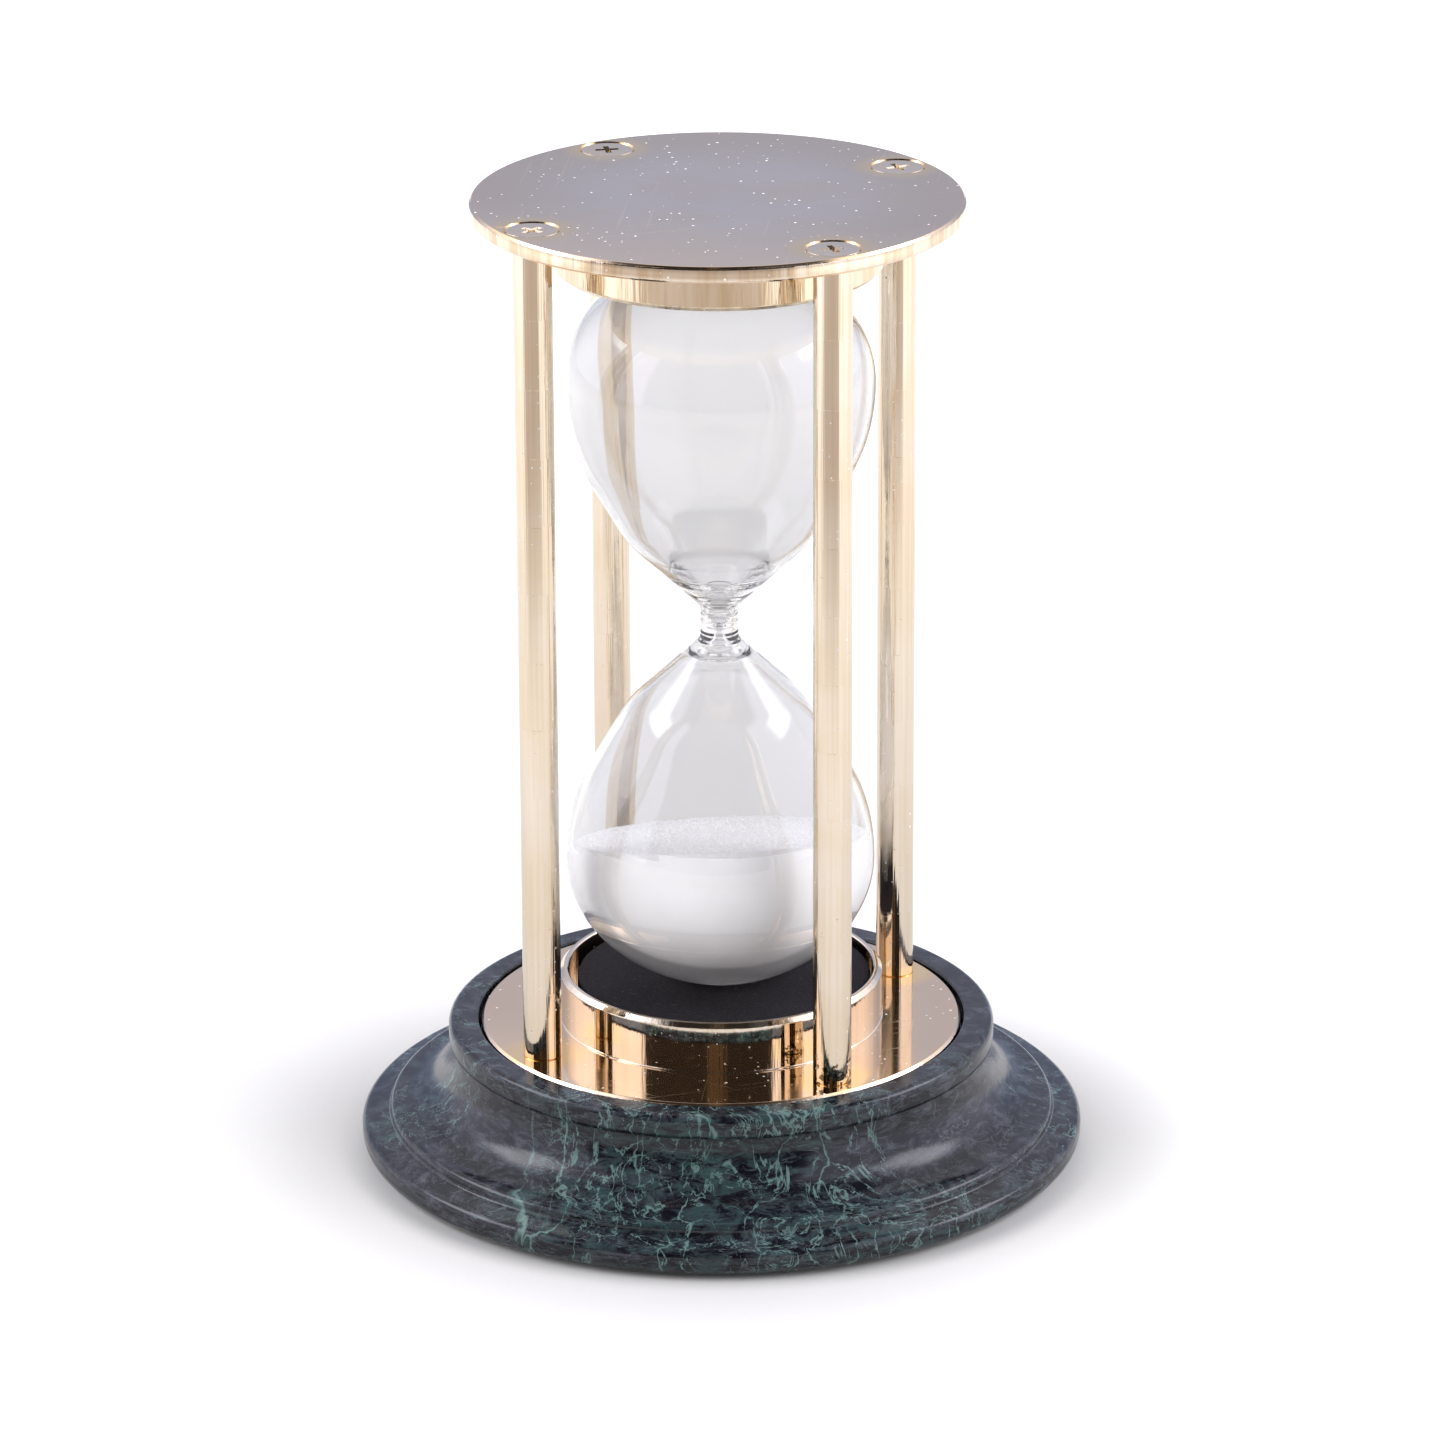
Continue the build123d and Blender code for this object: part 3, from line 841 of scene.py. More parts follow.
# %% Turn the marble base
RECESS_RADIUS, RECESS_EDGE = 45.05 * MM, 0.4 * MM
BEAD_RADIUS, BEAD_ROUND, BEAD_HEIGHT = 50.6 * MM, 1.5 * MM, 4.6 * MM
NECK_RADIUS, COVE_RADIUS, CREST_ROUND, STEP_FILLET = 49.5 * MM, 10.8 * MM, 1.4 * MM, 0.8 * MM
FLANGE_FALL, EDGE_ROUND, EDGE_STRAIGHT, FOOT_ROUND = 0.6 * MM, 1.7 * MM, 1.1 * MM, 2.4 * MM
felt_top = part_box("recess_felt")[0].z


def marble_outline():
    bead_under = base_top - BEAD_HEIGHT
    under_round = BEAD_RADIUS - NECK_RADIUS
    cove = (NECK_RADIUS + COVE_RADIUS, bead_under - CREST_ROUND / 2)
    step_top = cove[1] - COVE_RADIUS - CREST_ROUND
    step_out = cove[0] + CREST_ROUND + STEP_FILLET
    flange_top = step_top - STEP_FILLET
    edge = (base_radius - EDGE_ROUND, flange_top - FLANGE_FALL - EDGE_ROUND)
    foot = (base_radius - FOOT_ROUND, base_bottom + FOOT_ROUND)
    corner = 0.3 * MM
    outline = [(0.0, felt_top), (RECESS_RADIUS * 0.5, felt_top), (RECESS_RADIUS - corner, felt_top)]
    outline += arc((RECESS_RADIUS - corner, felt_top + corner), corner, -90, 0, 4)
    outline += arc((RECESS_RADIUS + RECESS_EDGE, base_top - RECESS_EDGE), RECESS_EDGE, 180, 90, 6)
    outline += arc((BEAD_RADIUS - BEAD_ROUND, base_top - BEAD_ROUND), BEAD_ROUND, 90, 0, 12)
    outline += arc((NECK_RADIUS, bead_under + under_round), under_round, 0, -90, 8)
    outline += arc(cove, COVE_RADIUS, 180, 270, 28)
    outline += arc((cove[0], step_top), CREST_ROUND, 90, 0, 12)
    outline += arc((step_out, step_top), STEP_FILLET, 180, 270, 6)
    outline += arc(edge, EDGE_ROUND, 88, 0, 12)
    outline += [(base_radius, edge[1] - EDGE_STRAIGHT)]
    outline += arc(foot, FOOT_ROUND, 0, -90, 10)
    outline += [(base_radius * 0.5, base_bottom), (0.0, base_bottom)]
    return outline


marble_base = turn("marble_base_turned", marble_outline(), green_marble, steps=288)
sharpen(marble_base, 50)
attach(marble_base, "base")
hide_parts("marble_base")
tell(marble_base)

# %% [markdown]
# ## Felt discs
#
# Felt is punched or cut from a roll, so its edge is square but fuzzy. One disc keeps the stone off the
# desk, the other lines the recess so that the brass doesn't scratch it. Each is turned as a thin disc with
# a slightly uneven edge.

# %% Cut and lay the felt
def felt_disc(name, node, body, seed):
    radius, low, high = span(node)
    soft = (high - low) * 0.3
    shrink = 0.15 * MM
    reach = radius - shrink
    rings = [reach * i / 12 for i in range(1, 12)]
    outline = [(0.0, high - 0.02 * MM)] + [(r, high - 0.02 * MM) for r in rings]
    outline += arc((reach - soft, high - soft), soft, 88, 0, 5)
    outline += arc((reach - soft, low + soft), soft, 0, -88, 5)
    outline += [(r, low) for r in reversed(rings)] + [(0.0, low)]
    disc = turn(name, outline, black_felt, steps=180, Unevenness=0.2 * MM, Seed=seed, **{"Patch Size": 0.003})
    sharpen(disc, 70)
    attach(disc, body)
    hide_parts(node)
    tell(disc)
    return disc


base_felt = felt_disc("base_felt_disc", "base_felt", "base", 3.0)
recess_felt = felt_disc("recess_felt_disc", "recess_felt", "recess_liner", 5.0)

# %% [markdown]
# ## Brass discs
#
# Both discs are cut from sheet, with a small bevel round each face and four countersunk holes. A hole in a
# lathe outline is impossible off the axis, so the holes are a separate turned cutter, repeated on the
# column circle and taken away with a Boolean in the same tree that spins the disc.

# %% Build the tree for a drilled disc and make both discs
def build_drilled_disc():
    tree, given, result = new_group("Drilled Disc", "GeometryNodeTree", [
        ("Outline", GEOMETRY, None), ("Cutter", OBJECT, None), ("Steps", INTEGER, 192), ("Count", INTEGER, 4),
        ("Circle Radius", FLOAT, 0.03), ("First Angle", FLOAT, math.pi / 4), ("Finish", MATERIAL, None),
    ], [("Geometry", GEOMETRY)])
    disc = add(tree, "GeometryNodeGroup", node_tree=LATHE)
    holes = add(tree, "GeometryNodeGroup", node_tree=CIRCLE)
    for node, names in ((disc, ("Outline", "Steps", "Finish")),
                        (holes, ("Count", "Circle Radius", "First Angle", "Finish"))):
        for name in names:
            tree.links.new(given.outputs[name], node.inputs[name])
    tree.links.new(given.outputs["Cutter"], holes.inputs["Piece"])
    cut = add(tree, "GeometryNodeMeshBoolean", {0: disc.outputs[0], 1: holes.outputs[0]},
              operation="DIFFERENCE", solver="EXACT")
    end_tree(tree, cut.outputs[0], given, result)
    return tree


DRILLED_DISC = build_drilled_disc()
BEVEL, HOLE_RADIUS, SINK_RADIUS, TINY = 0.5 * MM, 2.65 * MM, 5.15 * MM, 0.01 * MM


def off_post(x, y):
    """Distance from the axis of the nearest column."""
    side_way = post_circle / math.sqrt(2)
    return math.hypot(abs(x) - side_way, abs(y) - side_way)


def brass_disc(name, node, side):
    """Side is 1 where the screws go in from above, and -1 from below."""
    _, low, high = span(node)
    face, back = (high, low) if side > 0 else (low, high)
    clear = 1.0 * MM
    sink_depth = SINK_RADIUS - HOLE_RADIUS
    cutter = turn(name + "_cutter", [
        (0.0, back - side * clear), (HOLE_RADIUS, back - side * clear),
        (HOLE_RADIUS, face - side * sink_depth),
        (SINK_RADIUS, face), (SINK_RADIUS + clear, face + side * clear), (0.0, face + side * clear),
    ], plate_brass, steps=64)
    edge = plate_radius - BEVEL
    soft = 0.06 * MM
    outline = [(0.0, low), (edge - soft, low), (edge + soft * 0.7, low + soft * 0.4),
               (plate_radius - soft * 0.4, low + BEVEL - soft * 0.7), (plate_radius, low + BEVEL + soft),
               (plate_radius, high - BEVEL - soft), (plate_radius - soft * 0.4, high - BEVEL + soft * 0.7),
               (edge + soft * 0.7, high - soft * 0.4), (edge - soft, high), (0.0, high)]
    disc = run_tree(name, outline_object(name + "_outline", held(outline)), DRILLED_DISC, {
        "Cutter": cutter, "Steps": 192, "Count": len(PLACES), "Circle Radius": post_circle,
        "First Angle": math.pi / 4, "Finish": plate_brass,
    })
    drop(cutter)
    open_edges = face_outwards(disc.data)
    # the countersinks and hole walls take the glowing gold: a painted glow and highlight
    disc.data.materials.append(glowing_recess_brass)
    for part in disc.data.polygons:
        x, y, z = part.center
        if off_post(x, y) < SINK_RADIUS and low + TINY < z < high - TINY:
            part.material_index = 1
    sharpen(disc, 25)
    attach(disc, "hourglass")
    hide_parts(node)
    tell(disc)
    print(name, "open edges", open_edges)
    return disc


upper_disc = brass_disc("upper_disc", "top_plate", 1)
lower_disc = brass_disc("lower_disc", "bottom_plate", -1)

# %% [markdown]
# ## Columns
#
# Each column is a plain polished rod with a hair of a bevel at its ends and a tapped hole in each end for
# its screw. One rod is turned at the middle, hole and all, and the circle tree sets out the four.

# %% Turn one column and repeat it
TAPPED_RADIUS, TAPPED_DEPTH, ROD_EDGE = 2.5 * MM, 11.0 * MM, 0.2 * MM


def column_outline():
    low, high = post_low.z, post_high.z
    bore = TAPPED_RADIUS
    outline = [(0.0, low + TAPPED_DEPTH), (bore, low + TAPPED_DEPTH - 1.0 * MM), (bore, low),
               (post_radius - ROD_EDGE, low), (post_radius, low + ROD_EDGE)]
    count = 12
    outline += [(post_radius, low + (high - low) * i / count) for i in range(1, count)]
    outline += [(post_radius, high - ROD_EDGE), (post_radius - ROD_EDGE, high), (bore, high),
                (bore, high - TAPPED_DEPTH + 1.0 * MM), (0.0, high - TAPPED_DEPTH)]
    return outline


rod = turn("rod", column_outline(), rod_brass, steps=72)
columns = around("columns", rod, rod_brass)
face_outwards(columns.data)
sharpen(columns, 30)
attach(columns, "hourglass")
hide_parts(*["column_" + place for place in PLACES])
tell(columns)

# %% [markdown]
# ## Screws
#
# Eight countersunk machine screws pull the discs against the columns. A screw is turned with a faintly
# domed head and thread ridges, and the cross recess is taken out of the head with two tapered bars. The
# upper four are seen from above, each stopped at its own angle.

# %% Make the upper and lower screws
HEAD_RADIUS, HEAD_RIM, HEAD_SUNK, SCREW_LENGTH = 4.7 * MM, 0.3 * MM, 0.1 * MM, 12.0 * MM
SHANK_RADIUS, THREAD_DEPTH, THREAD_PITCH = 2.45 * MM, 0.3 * MM, 0.8 * MM
CROSS_LENGTH, CROSS_WIDTH, CROSS_DEPTH = 5.2 * MM, 1.25 * MM, 1.1 * MM


def screw_outline():
    """Head at height zero, tip downwards."""
    cone_end = -HEAD_RIM - (HEAD_RADIUS - SHANK_RADIUS)
    outline = [(0.0, 0.0), (HEAD_RADIUS * 0.6, -0.02 * MM), (HEAD_RADIUS - 0.12 * MM, -0.05 * MM),
               (HEAD_RADIUS, -0.15 * MM), (HEAD_RADIUS, -HEAD_RIM), (SHANK_RADIUS, cone_end)]
    height = cone_end - THREAD_PITCH / 2
    while height - THREAD_PITCH > -SCREW_LENGTH + THREAD_PITCH:
        outline += [(SHANK_RADIUS - THREAD_DEPTH, height), (SHANK_RADIUS, height - THREAD_PITCH / 2)]
        height -= THREAD_PITCH
    outline += [(SHANK_RADIUS - 2 * THREAD_DEPTH, -SCREW_LENGTH), (0.0, -SCREW_LENGTH)]
    return outline


def tapered_bar(name, length, width, depth, turned):
    """Bar that narrows downwards, reaching a little above the head so that it cuts cleanly."""
    points = []
    cosine, sine = math.cos(turned), math.sin(turned)
    for z, half_long, half_wide in ((0.3 * MM, length / 2, width / 2), (-depth, length * 0.16, width * 0.14)):
        for sx, sy in ((-1, -1), (1, -1), (1, 1), (-1, 1)):
            x, y = sx * half_long, sy * half_wide
            points.append((x * cosine - y * sine, x * sine + y * cosine, z))
    sides = [(i + 4, (i + 1) % 4 + 4, (i + 1) % 4, i) for i in range(4)]
    bar = mesh_object(name, points, faces=[(0, 1, 2, 3), (7, 6, 5, 4)] + sides)
    face_outwards(bar.data)
    return bar


def make_screw(name, height, side):
    """One screw with its cross recess, head up where side is 1."""
    screw = turn(name, screw_outline(), screw_brass, steps=48)
    bars = [tapered_bar(name + "_bar" + str(i), CROSS_LENGTH, CROSS_WIDTH, CROSS_DEPTH, i * math.pi / 2)
            for i in range(2)]
    for bar in bars:
        cut = screw.modifiers.new("recess", "BOOLEAN")
        cut.operation, cut.solver, cut.object = "DIFFERENCE", "EXACT", bar
    evaluated = screw.evaluated_get(bpy.context.evaluated_depsgraph_get())
    mesh = bpy.data.meshes.new_from_object(evaluated)
    screw.modifiers.clear()
    screw.data = mesh
    drop(*bars)
    for v in mesh.vertices:
        v.co.z = height + side * v.co.z
    face_outwards(mesh)
    return screw


def screw_set(name, prefix, height, side, seed):
    screws = around(name, make_screw(name + "_one", height, side), screw_brass, math.pi, seed)
    face_outwards(screws.data)
    # the cross recesses take the glowing gold: a painted glow and highlight
    screws.data.materials.append(glowing_recess_brass)
    reach = min(CROSS_LENGTH / 2, SHANK_RADIUS * 1.06)
    for part in screws.data.polygons:
        x, y, z = part.center
        under = side * (height - z)
        if 0.1 * MM < under < CROSS_DEPTH * 1.05 and off_post(x, y) < reach:
            part.material_index = 1
    sharpen(screws, 28)
    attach(screws, "hourglass")
    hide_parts(*[prefix + place for place in PLACES])
    tell(screws)
    return screws


upper_screws = screw_set("upper_screws", "top_screw_", upper_plate_top - HEAD_SUNK, 1, 4)
lower_screws = screw_set("lower_screws", "bottom_screw_", lower_plate_z + HEAD_SUNK, -1, 7)

# %% [markdown]
# ## Collars
#
# A short ring on each disc keeps the end of the glass in the middle. It is turned, with a wide bevel on the
# open edge that catches the light, and a thin bead of solder shows where it meets its disc.

# %% Turn both collars and their solder beads
COLLAR_INNER, COLLAR_BEVEL, COLLAR_INNER_EDGE, BEAD = 28.3 * MM, 0.8 * MM, 0.2 * MM, 0.22 * MM


def collar(name, node, side, finish):
    """Side is 1 where the ring stands on its disc and -1 where it hangs."""
    radius, low, high = span(node)
    foot, rim = (low, high) if side > 0 else (high, low)
    soft = 0.1 * MM
    outline = [
        (COLLAR_INNER, foot), (radius, foot), (radius, rim - side * (COLLAR_BEVEL + soft)),
        (radius - soft * 0.3, rim - side * (COLLAR_BEVEL - soft * 0.3)),
        (radius - COLLAR_BEVEL + soft * 0.3, rim - side * soft * 0.3), (radius - COLLAR_BEVEL - soft, rim),
        (COLLAR_INNER + COLLAR_INNER_EDGE, rim), (COLLAR_INNER, rim - side * COLLAR_INNER_EDGE),
        (COLLAR_INNER, foot),
    ]
    ring = turn(name, outline, finish, steps=192)
    bead_middle = foot + side * BEAD * 0.35
    seam = turn(name + "_bead", arc((radius, bead_middle), BEAD, 0, 360, 12), finish, steps=192,
                Unevenness=0.12 * MM, Seed=2.0, **{"Patch Size": 0.004})
    ring = join(name, [ring, seam])
    sharpen(ring, 28)
    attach(ring, "hourglass")
    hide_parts(node)
    tell(ring)
    return ring


lower_ring = collar("lower_ring", "lower_collar", 1, ring_brass)
upper_ring = collar("upper_ring", "upper_collar", -1, worn_ring_brass)

# %% [markdown]
# ## Foam pads
#
# A punched disc of fine foam sits loose in each collar and takes up the length of the glass. Where the
# round end of the glass presses in it has a dent, and its cut edge is a little rounded. The lower one
# doesn't lie quite in the middle: a dark gap shows on its left.

# %% Cut the pads
PAD_EDGE, PAD_SHIFT = 0.5 * MM, 0.6 * MM
CAP_SIDE_RADIUS, CAP_SIDE_REACH = 20.5 * MM, 45.5 * MM


def cap_of_glass():
    """Radius of the shallow round end of a bulb, and its centre's distance from the middle."""
    half = (glass_top - glass_bottom) / 2
    inset = glass_radius - CAP_SIDE_RADIUS
    rise = half - CAP_SIDE_REACH - CAP_SIDE_RADIUS
    radius = (inset ** 2 + rise ** 2) / (2 * rise) + CAP_SIDE_RADIUS
    return radius, half - radius


def pad(name, node, side, shift):
    radius, low, high = span(node)
    back, face = (low, high) if side > 0 else (high, low)
    cap_radius, cap_reach = cap_of_glass()
    cap_radius += 0.1 * MM
    centre_z = glass_middle - side * cap_reach
    lip = math.sqrt(cap_radius ** 2 - (face - centre_z) ** 2)
    reach = radius - 0.3 * MM
    dent = [(r, centre_z - side * math.sqrt(cap_radius ** 2 - r ** 2)) for r in
            [lip * i / 16 for i in range(17)]]
    outline = dent + [(lip + (reach - lip) * i / 14, face) for i in range(1, 13)]
    outline += arc((reach - PAD_EDGE, face - side * PAD_EDGE), PAD_EDGE, 80 * side, 0, 5)
    outline += [(reach + 0.1 * MM, (face + back) / 2)]
    outline += arc((reach - PAD_EDGE, back + side * PAD_EDGE), PAD_EDGE, 0, -80 * side, 4) + [(0.0, back)]
    made = turn(name, outline, black_foam, steps=160, Unevenness=0.25 * MM, Seed=9.0, **{"Patch Size": 0.004})
    for v in made.data.vertices:
        v.co.x += shift
    sharpen(made, 60)
    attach(made, "hourglass")
    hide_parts(node)
    tell(made)
    return made


lower_foam = pad("lower_foam", "lower_pad", 1, PAD_SHIFT)
upper_foam = pad("upper_foam", "upper_pad", -1, 0.0)

# %% [markdown]
# ## Glass
#
# The timer is blown from one tube and drawn in at the middle, so it has an outer and an inner skin. Both
# skins follow the same bulb: a shallow cap, the round side, a straight shoulder, a small bend and the cone
# down to the neck. Only the inner one narrows to the throat, so the glass is solid between the cones, and
# rings are left there where the tube was turned in the flame. The ends are thicker than the sides. The inner
# skin faces into the hollow.

# %% Blow the glass
WALL, END_WALL, NECK_OUTER, NECK_FILLET = 1.2 * MM, 2.0 * MM, 3.4 * MM, 3.05 * MM
CONE_ANGLE, SHOULDER_ANGLE, SHOULDER_RADIUS, SHOULDER_STRAIGHT = 46.2, 29.7, 20.4 * MM, 10.3 * MM
SIDE_RADIUS = 35.9 * MM
THROAT = [(4.4, -6.35), (2.7, -5.7), (1.6, -4.8), (0.95, -3.7), (0.68, -2.5), (0.66, -1.3), (0.9, -0.4),
          (1.5, 0.5), (1.75, 2.0), (1.9, 4.0), (2.15, 6.0), (2.7, 7.6), (3.9, 8.8), (5.8, 9.7), (7.8, 10.25)]
THROAT_OPENS_BELOW, THROAT_OPENS_ABOVE = 6.4 * MM, 10.0 * MM
RIPPLE_PITCH = 1.15 * MM
SAND_MIDDLE, SAND_SLOPE, SAND_RISE = post_low.z + 35.0 * MM, math.radians(13.9), math.radians(-67.3)


def shoulder_circle():
    """Centre of the bend between cone and bulb, as (radius, distance from the middle of the neck)."""
    tilt = math.radians(SHOULDER_ANGLE)
    start = (glass_radius - SIDE_RADIUS * (1 - math.cos(tilt)), CAP_SIDE_REACH - SIDE_RADIUS * math.sin(tilt))
    end = (start[0] - SHOULDER_STRAIGHT * math.sin(tilt), start[1] - SHOULDER_STRAIGHT * math.cos(tilt))
    return end[0] - SHOULDER_RADIUS * math.cos(tilt), end[1] + SHOULDER_RADIUS * math.sin(tilt)


def bulb_from_cone(wall):
    """From the end of the cone to the middle of the bulb's end; the inner skin leaves that end thicker."""
    shoulder, side = shoulder_circle(), (glass_radius - SIDE_RADIUS, CAP_SIDE_REACH)
    end_side = (glass_radius - CAP_SIDE_RADIUS, CAP_SIDE_REACH)
    cap_radius, cap_centre = cap_of_glass()
    cap_angle = math.degrees(math.atan2(CAP_SIDE_REACH - cap_centre, end_side[0]))
    points = arc(shoulder, SHOULDER_RADIUS - wall, -CONE_ANGLE, -SHOULDER_ANGLE, 6)
    points += arc(side, SIDE_RADIUS - wall, -SHOULDER_ANGLE, 0, 14)
    points += arc(end_side, CAP_SIDE_RADIUS - wall, 0, cap_angle, 16)[1:]
    points += arc((0.0, cap_centre), cap_radius - wall, cap_angle, 90, 14)[1:]
    extra = END_WALL - WALL if wall else 0.0
    reach = points[-1][1] - CAP_SIDE_REACH
    return [(r, z - extra * (max(z - CAP_SIDE_REACH, 0.0) / reach) ** 2) for r, z in points]


def on_cone(cone_end, radius):
    return radius, cone_end[1] - (cone_end[0] - radius) / math.tan(math.radians(CONE_ANGLE))


def outer_neck(cone_end):
    """Straight neck, fillet and the start of the cone: the same above and below."""
    cone = math.radians(CONE_ANGLE)
    start = on_cone(cone_end, NECK_OUTER + NECK_FILLET * (1 - math.cos(cone)))
    neck_end = start[1] - NECK_FILLET * math.sin(cone)
    points = [(NECK_OUTER, neck_end * i / 10) for i in range(10)]
    return points + arc((NECK_OUTER + NECK_FILLET, neck_end), NECK_FILLET, 180, 180 - CONE_ANGLE, 12)


def through(points, steps):
    """Smooth curve through the points, each stretch led by its two neighbours."""
    made = []
    for i in range(1, len(points) - 2):
        a, b, c, d = (np.array(points[i + k]) for k in (-1, 0, 1, 2))
        for step in range(steps):
            t = step / steps
            made.append(tuple(0.5 * (2 * b + (c - a) * t + (2 * a - 5 * b + 4 * c - d) * t ** 2
                                     + (3 * b - a - 3 * c + d) * t ** 3)))
    return made + [points[-2]]


def outer_outline():
    bulb = bulb_from_cone(0.0)
    half = outer_neck(bulb[0]) + bulb
    return [(r, -z) for r, z in reversed(half)] + half[1:]


def inner_outline():
    bulb = bulb_from_cone(WALL)
    below, above = on_cone(bulb[0], THROAT_OPENS_BELOW), on_cone(bulb[0], THROAT_OPENS_ABOVE)
    throat = [(r * MM, z * MM) for r, z in THROAT]
    throat = [(bulb[0][0], -bulb[0][1]), (below[0], -below[1])] + throat + [above, bulb[0]]
    return [(r, -z) for r, z in reversed(bulb)] + through(throat, 6) + bulb


def placed(outline):
    """Lift an outline to the neck's height and end it exactly on the axis."""
    lifted = [(r, glass_middle + z) for r, z in outline]
    return [(0.0, lifted[0][1])] + lifted[1:-1] + [(0.0, lifted[-1][1])]


def rippled(outline, depth, middle, reach):
    """Rings of the flame-turned neck: strongest at the middle given, gone further off than the reach."""
    made = []
    for r, z in outline:
        off = z - glass_middle
        fade = math.exp(-((off - middle) / reach) ** 4)
        turns = 2 * math.pi * off / RIPPLE_PITCH
        wave = math.sin(turns) + 0.5 * math.sin(turns / 0.61)
        made.append((r + depth * fade * wave if r > 0 else r, z))
    return made


def resampled(outline, reach, step):
    """Extra points on the stretch near the neck, so that the ripple is smooth."""
    made = [outline[0]]
    for (r0, z0), (r1, z1) in zip(outline, outline[1:]):
        length = math.hypot(r1 - r0, z1 - z0)
        near = min(abs(z0 - glass_middle), abs(z1 - glass_middle)) < reach
        count = max(1, math.ceil(length / step)) if near else 1
        made += [(r0 + (r1 - r0) * i / count, z0 + (z1 - z0) * i / count) for i in range(1, count + 1)]
    return made


def skin(name, outline, finish, inwards, unevenness, seed, ripple):
    outline = rippled(resampled(placed(outline), 9 * MM, 0.18 * MM), *ripple)
    return turn(name, outline, finish, steps=128, inwards=inwards, Unevenness=unevenness, Seed=seed,
                **{"Patch Size": 0.014})


def whiten_below_sand(mesh):
    """The inner skin that the sand lies against is coated by it, up to just under the sand's top."""
    mesh.materials.append(sandy_glass)
    for face in mesh.polygons:
        x, y, z = face.center
        sand_top = SAND_MIDDLE + math.tan(SAND_SLOPE) * (x * math.cos(SAND_RISE) + y * math.sin(SAND_RISE))
        if mesh.materials[face.material_index] == dusty_glass and z < sand_top - 0.6 * MM:
            face.material_index = len(mesh.materials) - 1


# ripples are (depth, middle, reach)
OUTER_RIPPLE, INNER_RIPPLE = (0.08 * MM, 0.0, 5.5 * MM), (0.17 * MM, 4.2 * MM, 4.4 * MM)
outer_skin = skin("outer_skin", outer_outline(), clear_glass, False, 0.10 * MM, 11.0, OUTER_RIPPLE)
inner_skin = skin("inner_skin", inner_outline(), dusty_glass, True, 0.20 * MM, 13.0, INNER_RIPPLE)
glass = join("blown_glass", [outer_skin, inner_skin])
whiten_below_sand(glass.data)
sharpen(glass, 80)
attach(glass, "hourglass")
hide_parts("glass_bulbs")
tell(glass)

# %% [markdown]
# ## Sand
#
# The sand has all run down and was tipped a little when the timer was set down, so its top is a plane
# that rises to one side. Its body follows the inside of the glass with a hair of air between. For
# each direction round the axis, the height where the wall meets the tilted top is found by trying a few
# times, and rings are laid from the bottom up the wall to that height and then in across the top.

# %% Fill the lower bulb
SAND_GAP = 0.08 * MM


def sand_wall():
    """Inside of the lower bulb, bottom to neck, as radii and heights."""
    inside = [(max(r - SAND_GAP, 0.0), z) for r, z in placed(inner_outline()) if z < glass_middle - 8.0 * MM]
    return np.array([(r, z + (SAND_GAP if i < 12 else 0.0)) for i, (r, z) in enumerate(inside)])


def sand_mesh():
    wall = sand_wall()
    radii, heights = wall[:, 0], wall[:, 1]
    around_steps, wall_rings, top_rings = 192, 40, 44
    points, faces = [(0.0, 0.0, heights[0])], []
    rng = np.random.default_rng(21)
    waves = [(rng.uniform(150, 420), rng.uniform(0, 2 * math.pi), rng.uniform(0, 6.28)) for _ in range(9)]
    for i in range(around_steps):
        angle = 2 * math.pi * i / around_steps
        rise = math.tan(SAND_SLOPE) * math.cos(angle - SAND_RISE)
        height = SAND_MIDDLE
        for _ in range(8):
            height = SAND_MIDDLE + rise * np.interp(height, heights, radii)
        column = []
        for j in range(1, wall_rings + 1):
            share = 1 - (1 - j / wall_rings) ** 1.6
            z = heights[0] + (height - heights[0]) * share ** 1.8
            column.append((np.interp(z, heights, radii), z))
        edge = column[-1][0]
        for j in range(1, top_rings):
            r = edge * (1 - j / top_rings)
            x, y = r * math.cos(angle), r * math.sin(angle)
            swell = sum(math.sin(k * (x * math.cos(a) + y * math.sin(a)) + p) for k, a, p in waves)
            swell *= 0.03 * MM
            creep = 0.35 * MM * math.exp(-(edge - r) / (0.8 * MM))
            column.append((r, SAND_MIDDLE + rise * r + swell * min(1.0, j / 6) + creep * 0.6))
        points += [(r * math.cos(angle), r * math.sin(angle), z) for r, z in column]
    per_column = wall_rings + top_rings - 1
    top_point = len(points)
    points.append((0.0, 0.0, SAND_MIDDLE))
    for i in range(around_steps):
        a, b = 1 + i * per_column, 1 + ((i + 1) % around_steps) * per_column
        faces.append((0, b, a))
        faces += [(a + j, b + j, b + j + 1, a + j + 1) for j in range(per_column - 1)]
        faces.append((a + per_column - 1, b + per_column - 1, top_point))
    return points, faces


sand_points, sand_faces = sand_mesh()
sand = mesh_object("sand_body", sand_points, faces=sand_faces)
sand.data.materials.append(white_sand)
print("sand open edges", face_outwards(sand.data))
sharpen(sand, 60)

# %% [markdown]
# ## Loose grains
#
# A perfectly smooth top would look like plaster. A tree scatters a few thousand single grains over the
# upward-facing part of the sand, each a twenty-faced ball of its own size and turn. Size, number and seed
# are named inputs, and the grains become part of the sand's mesh.

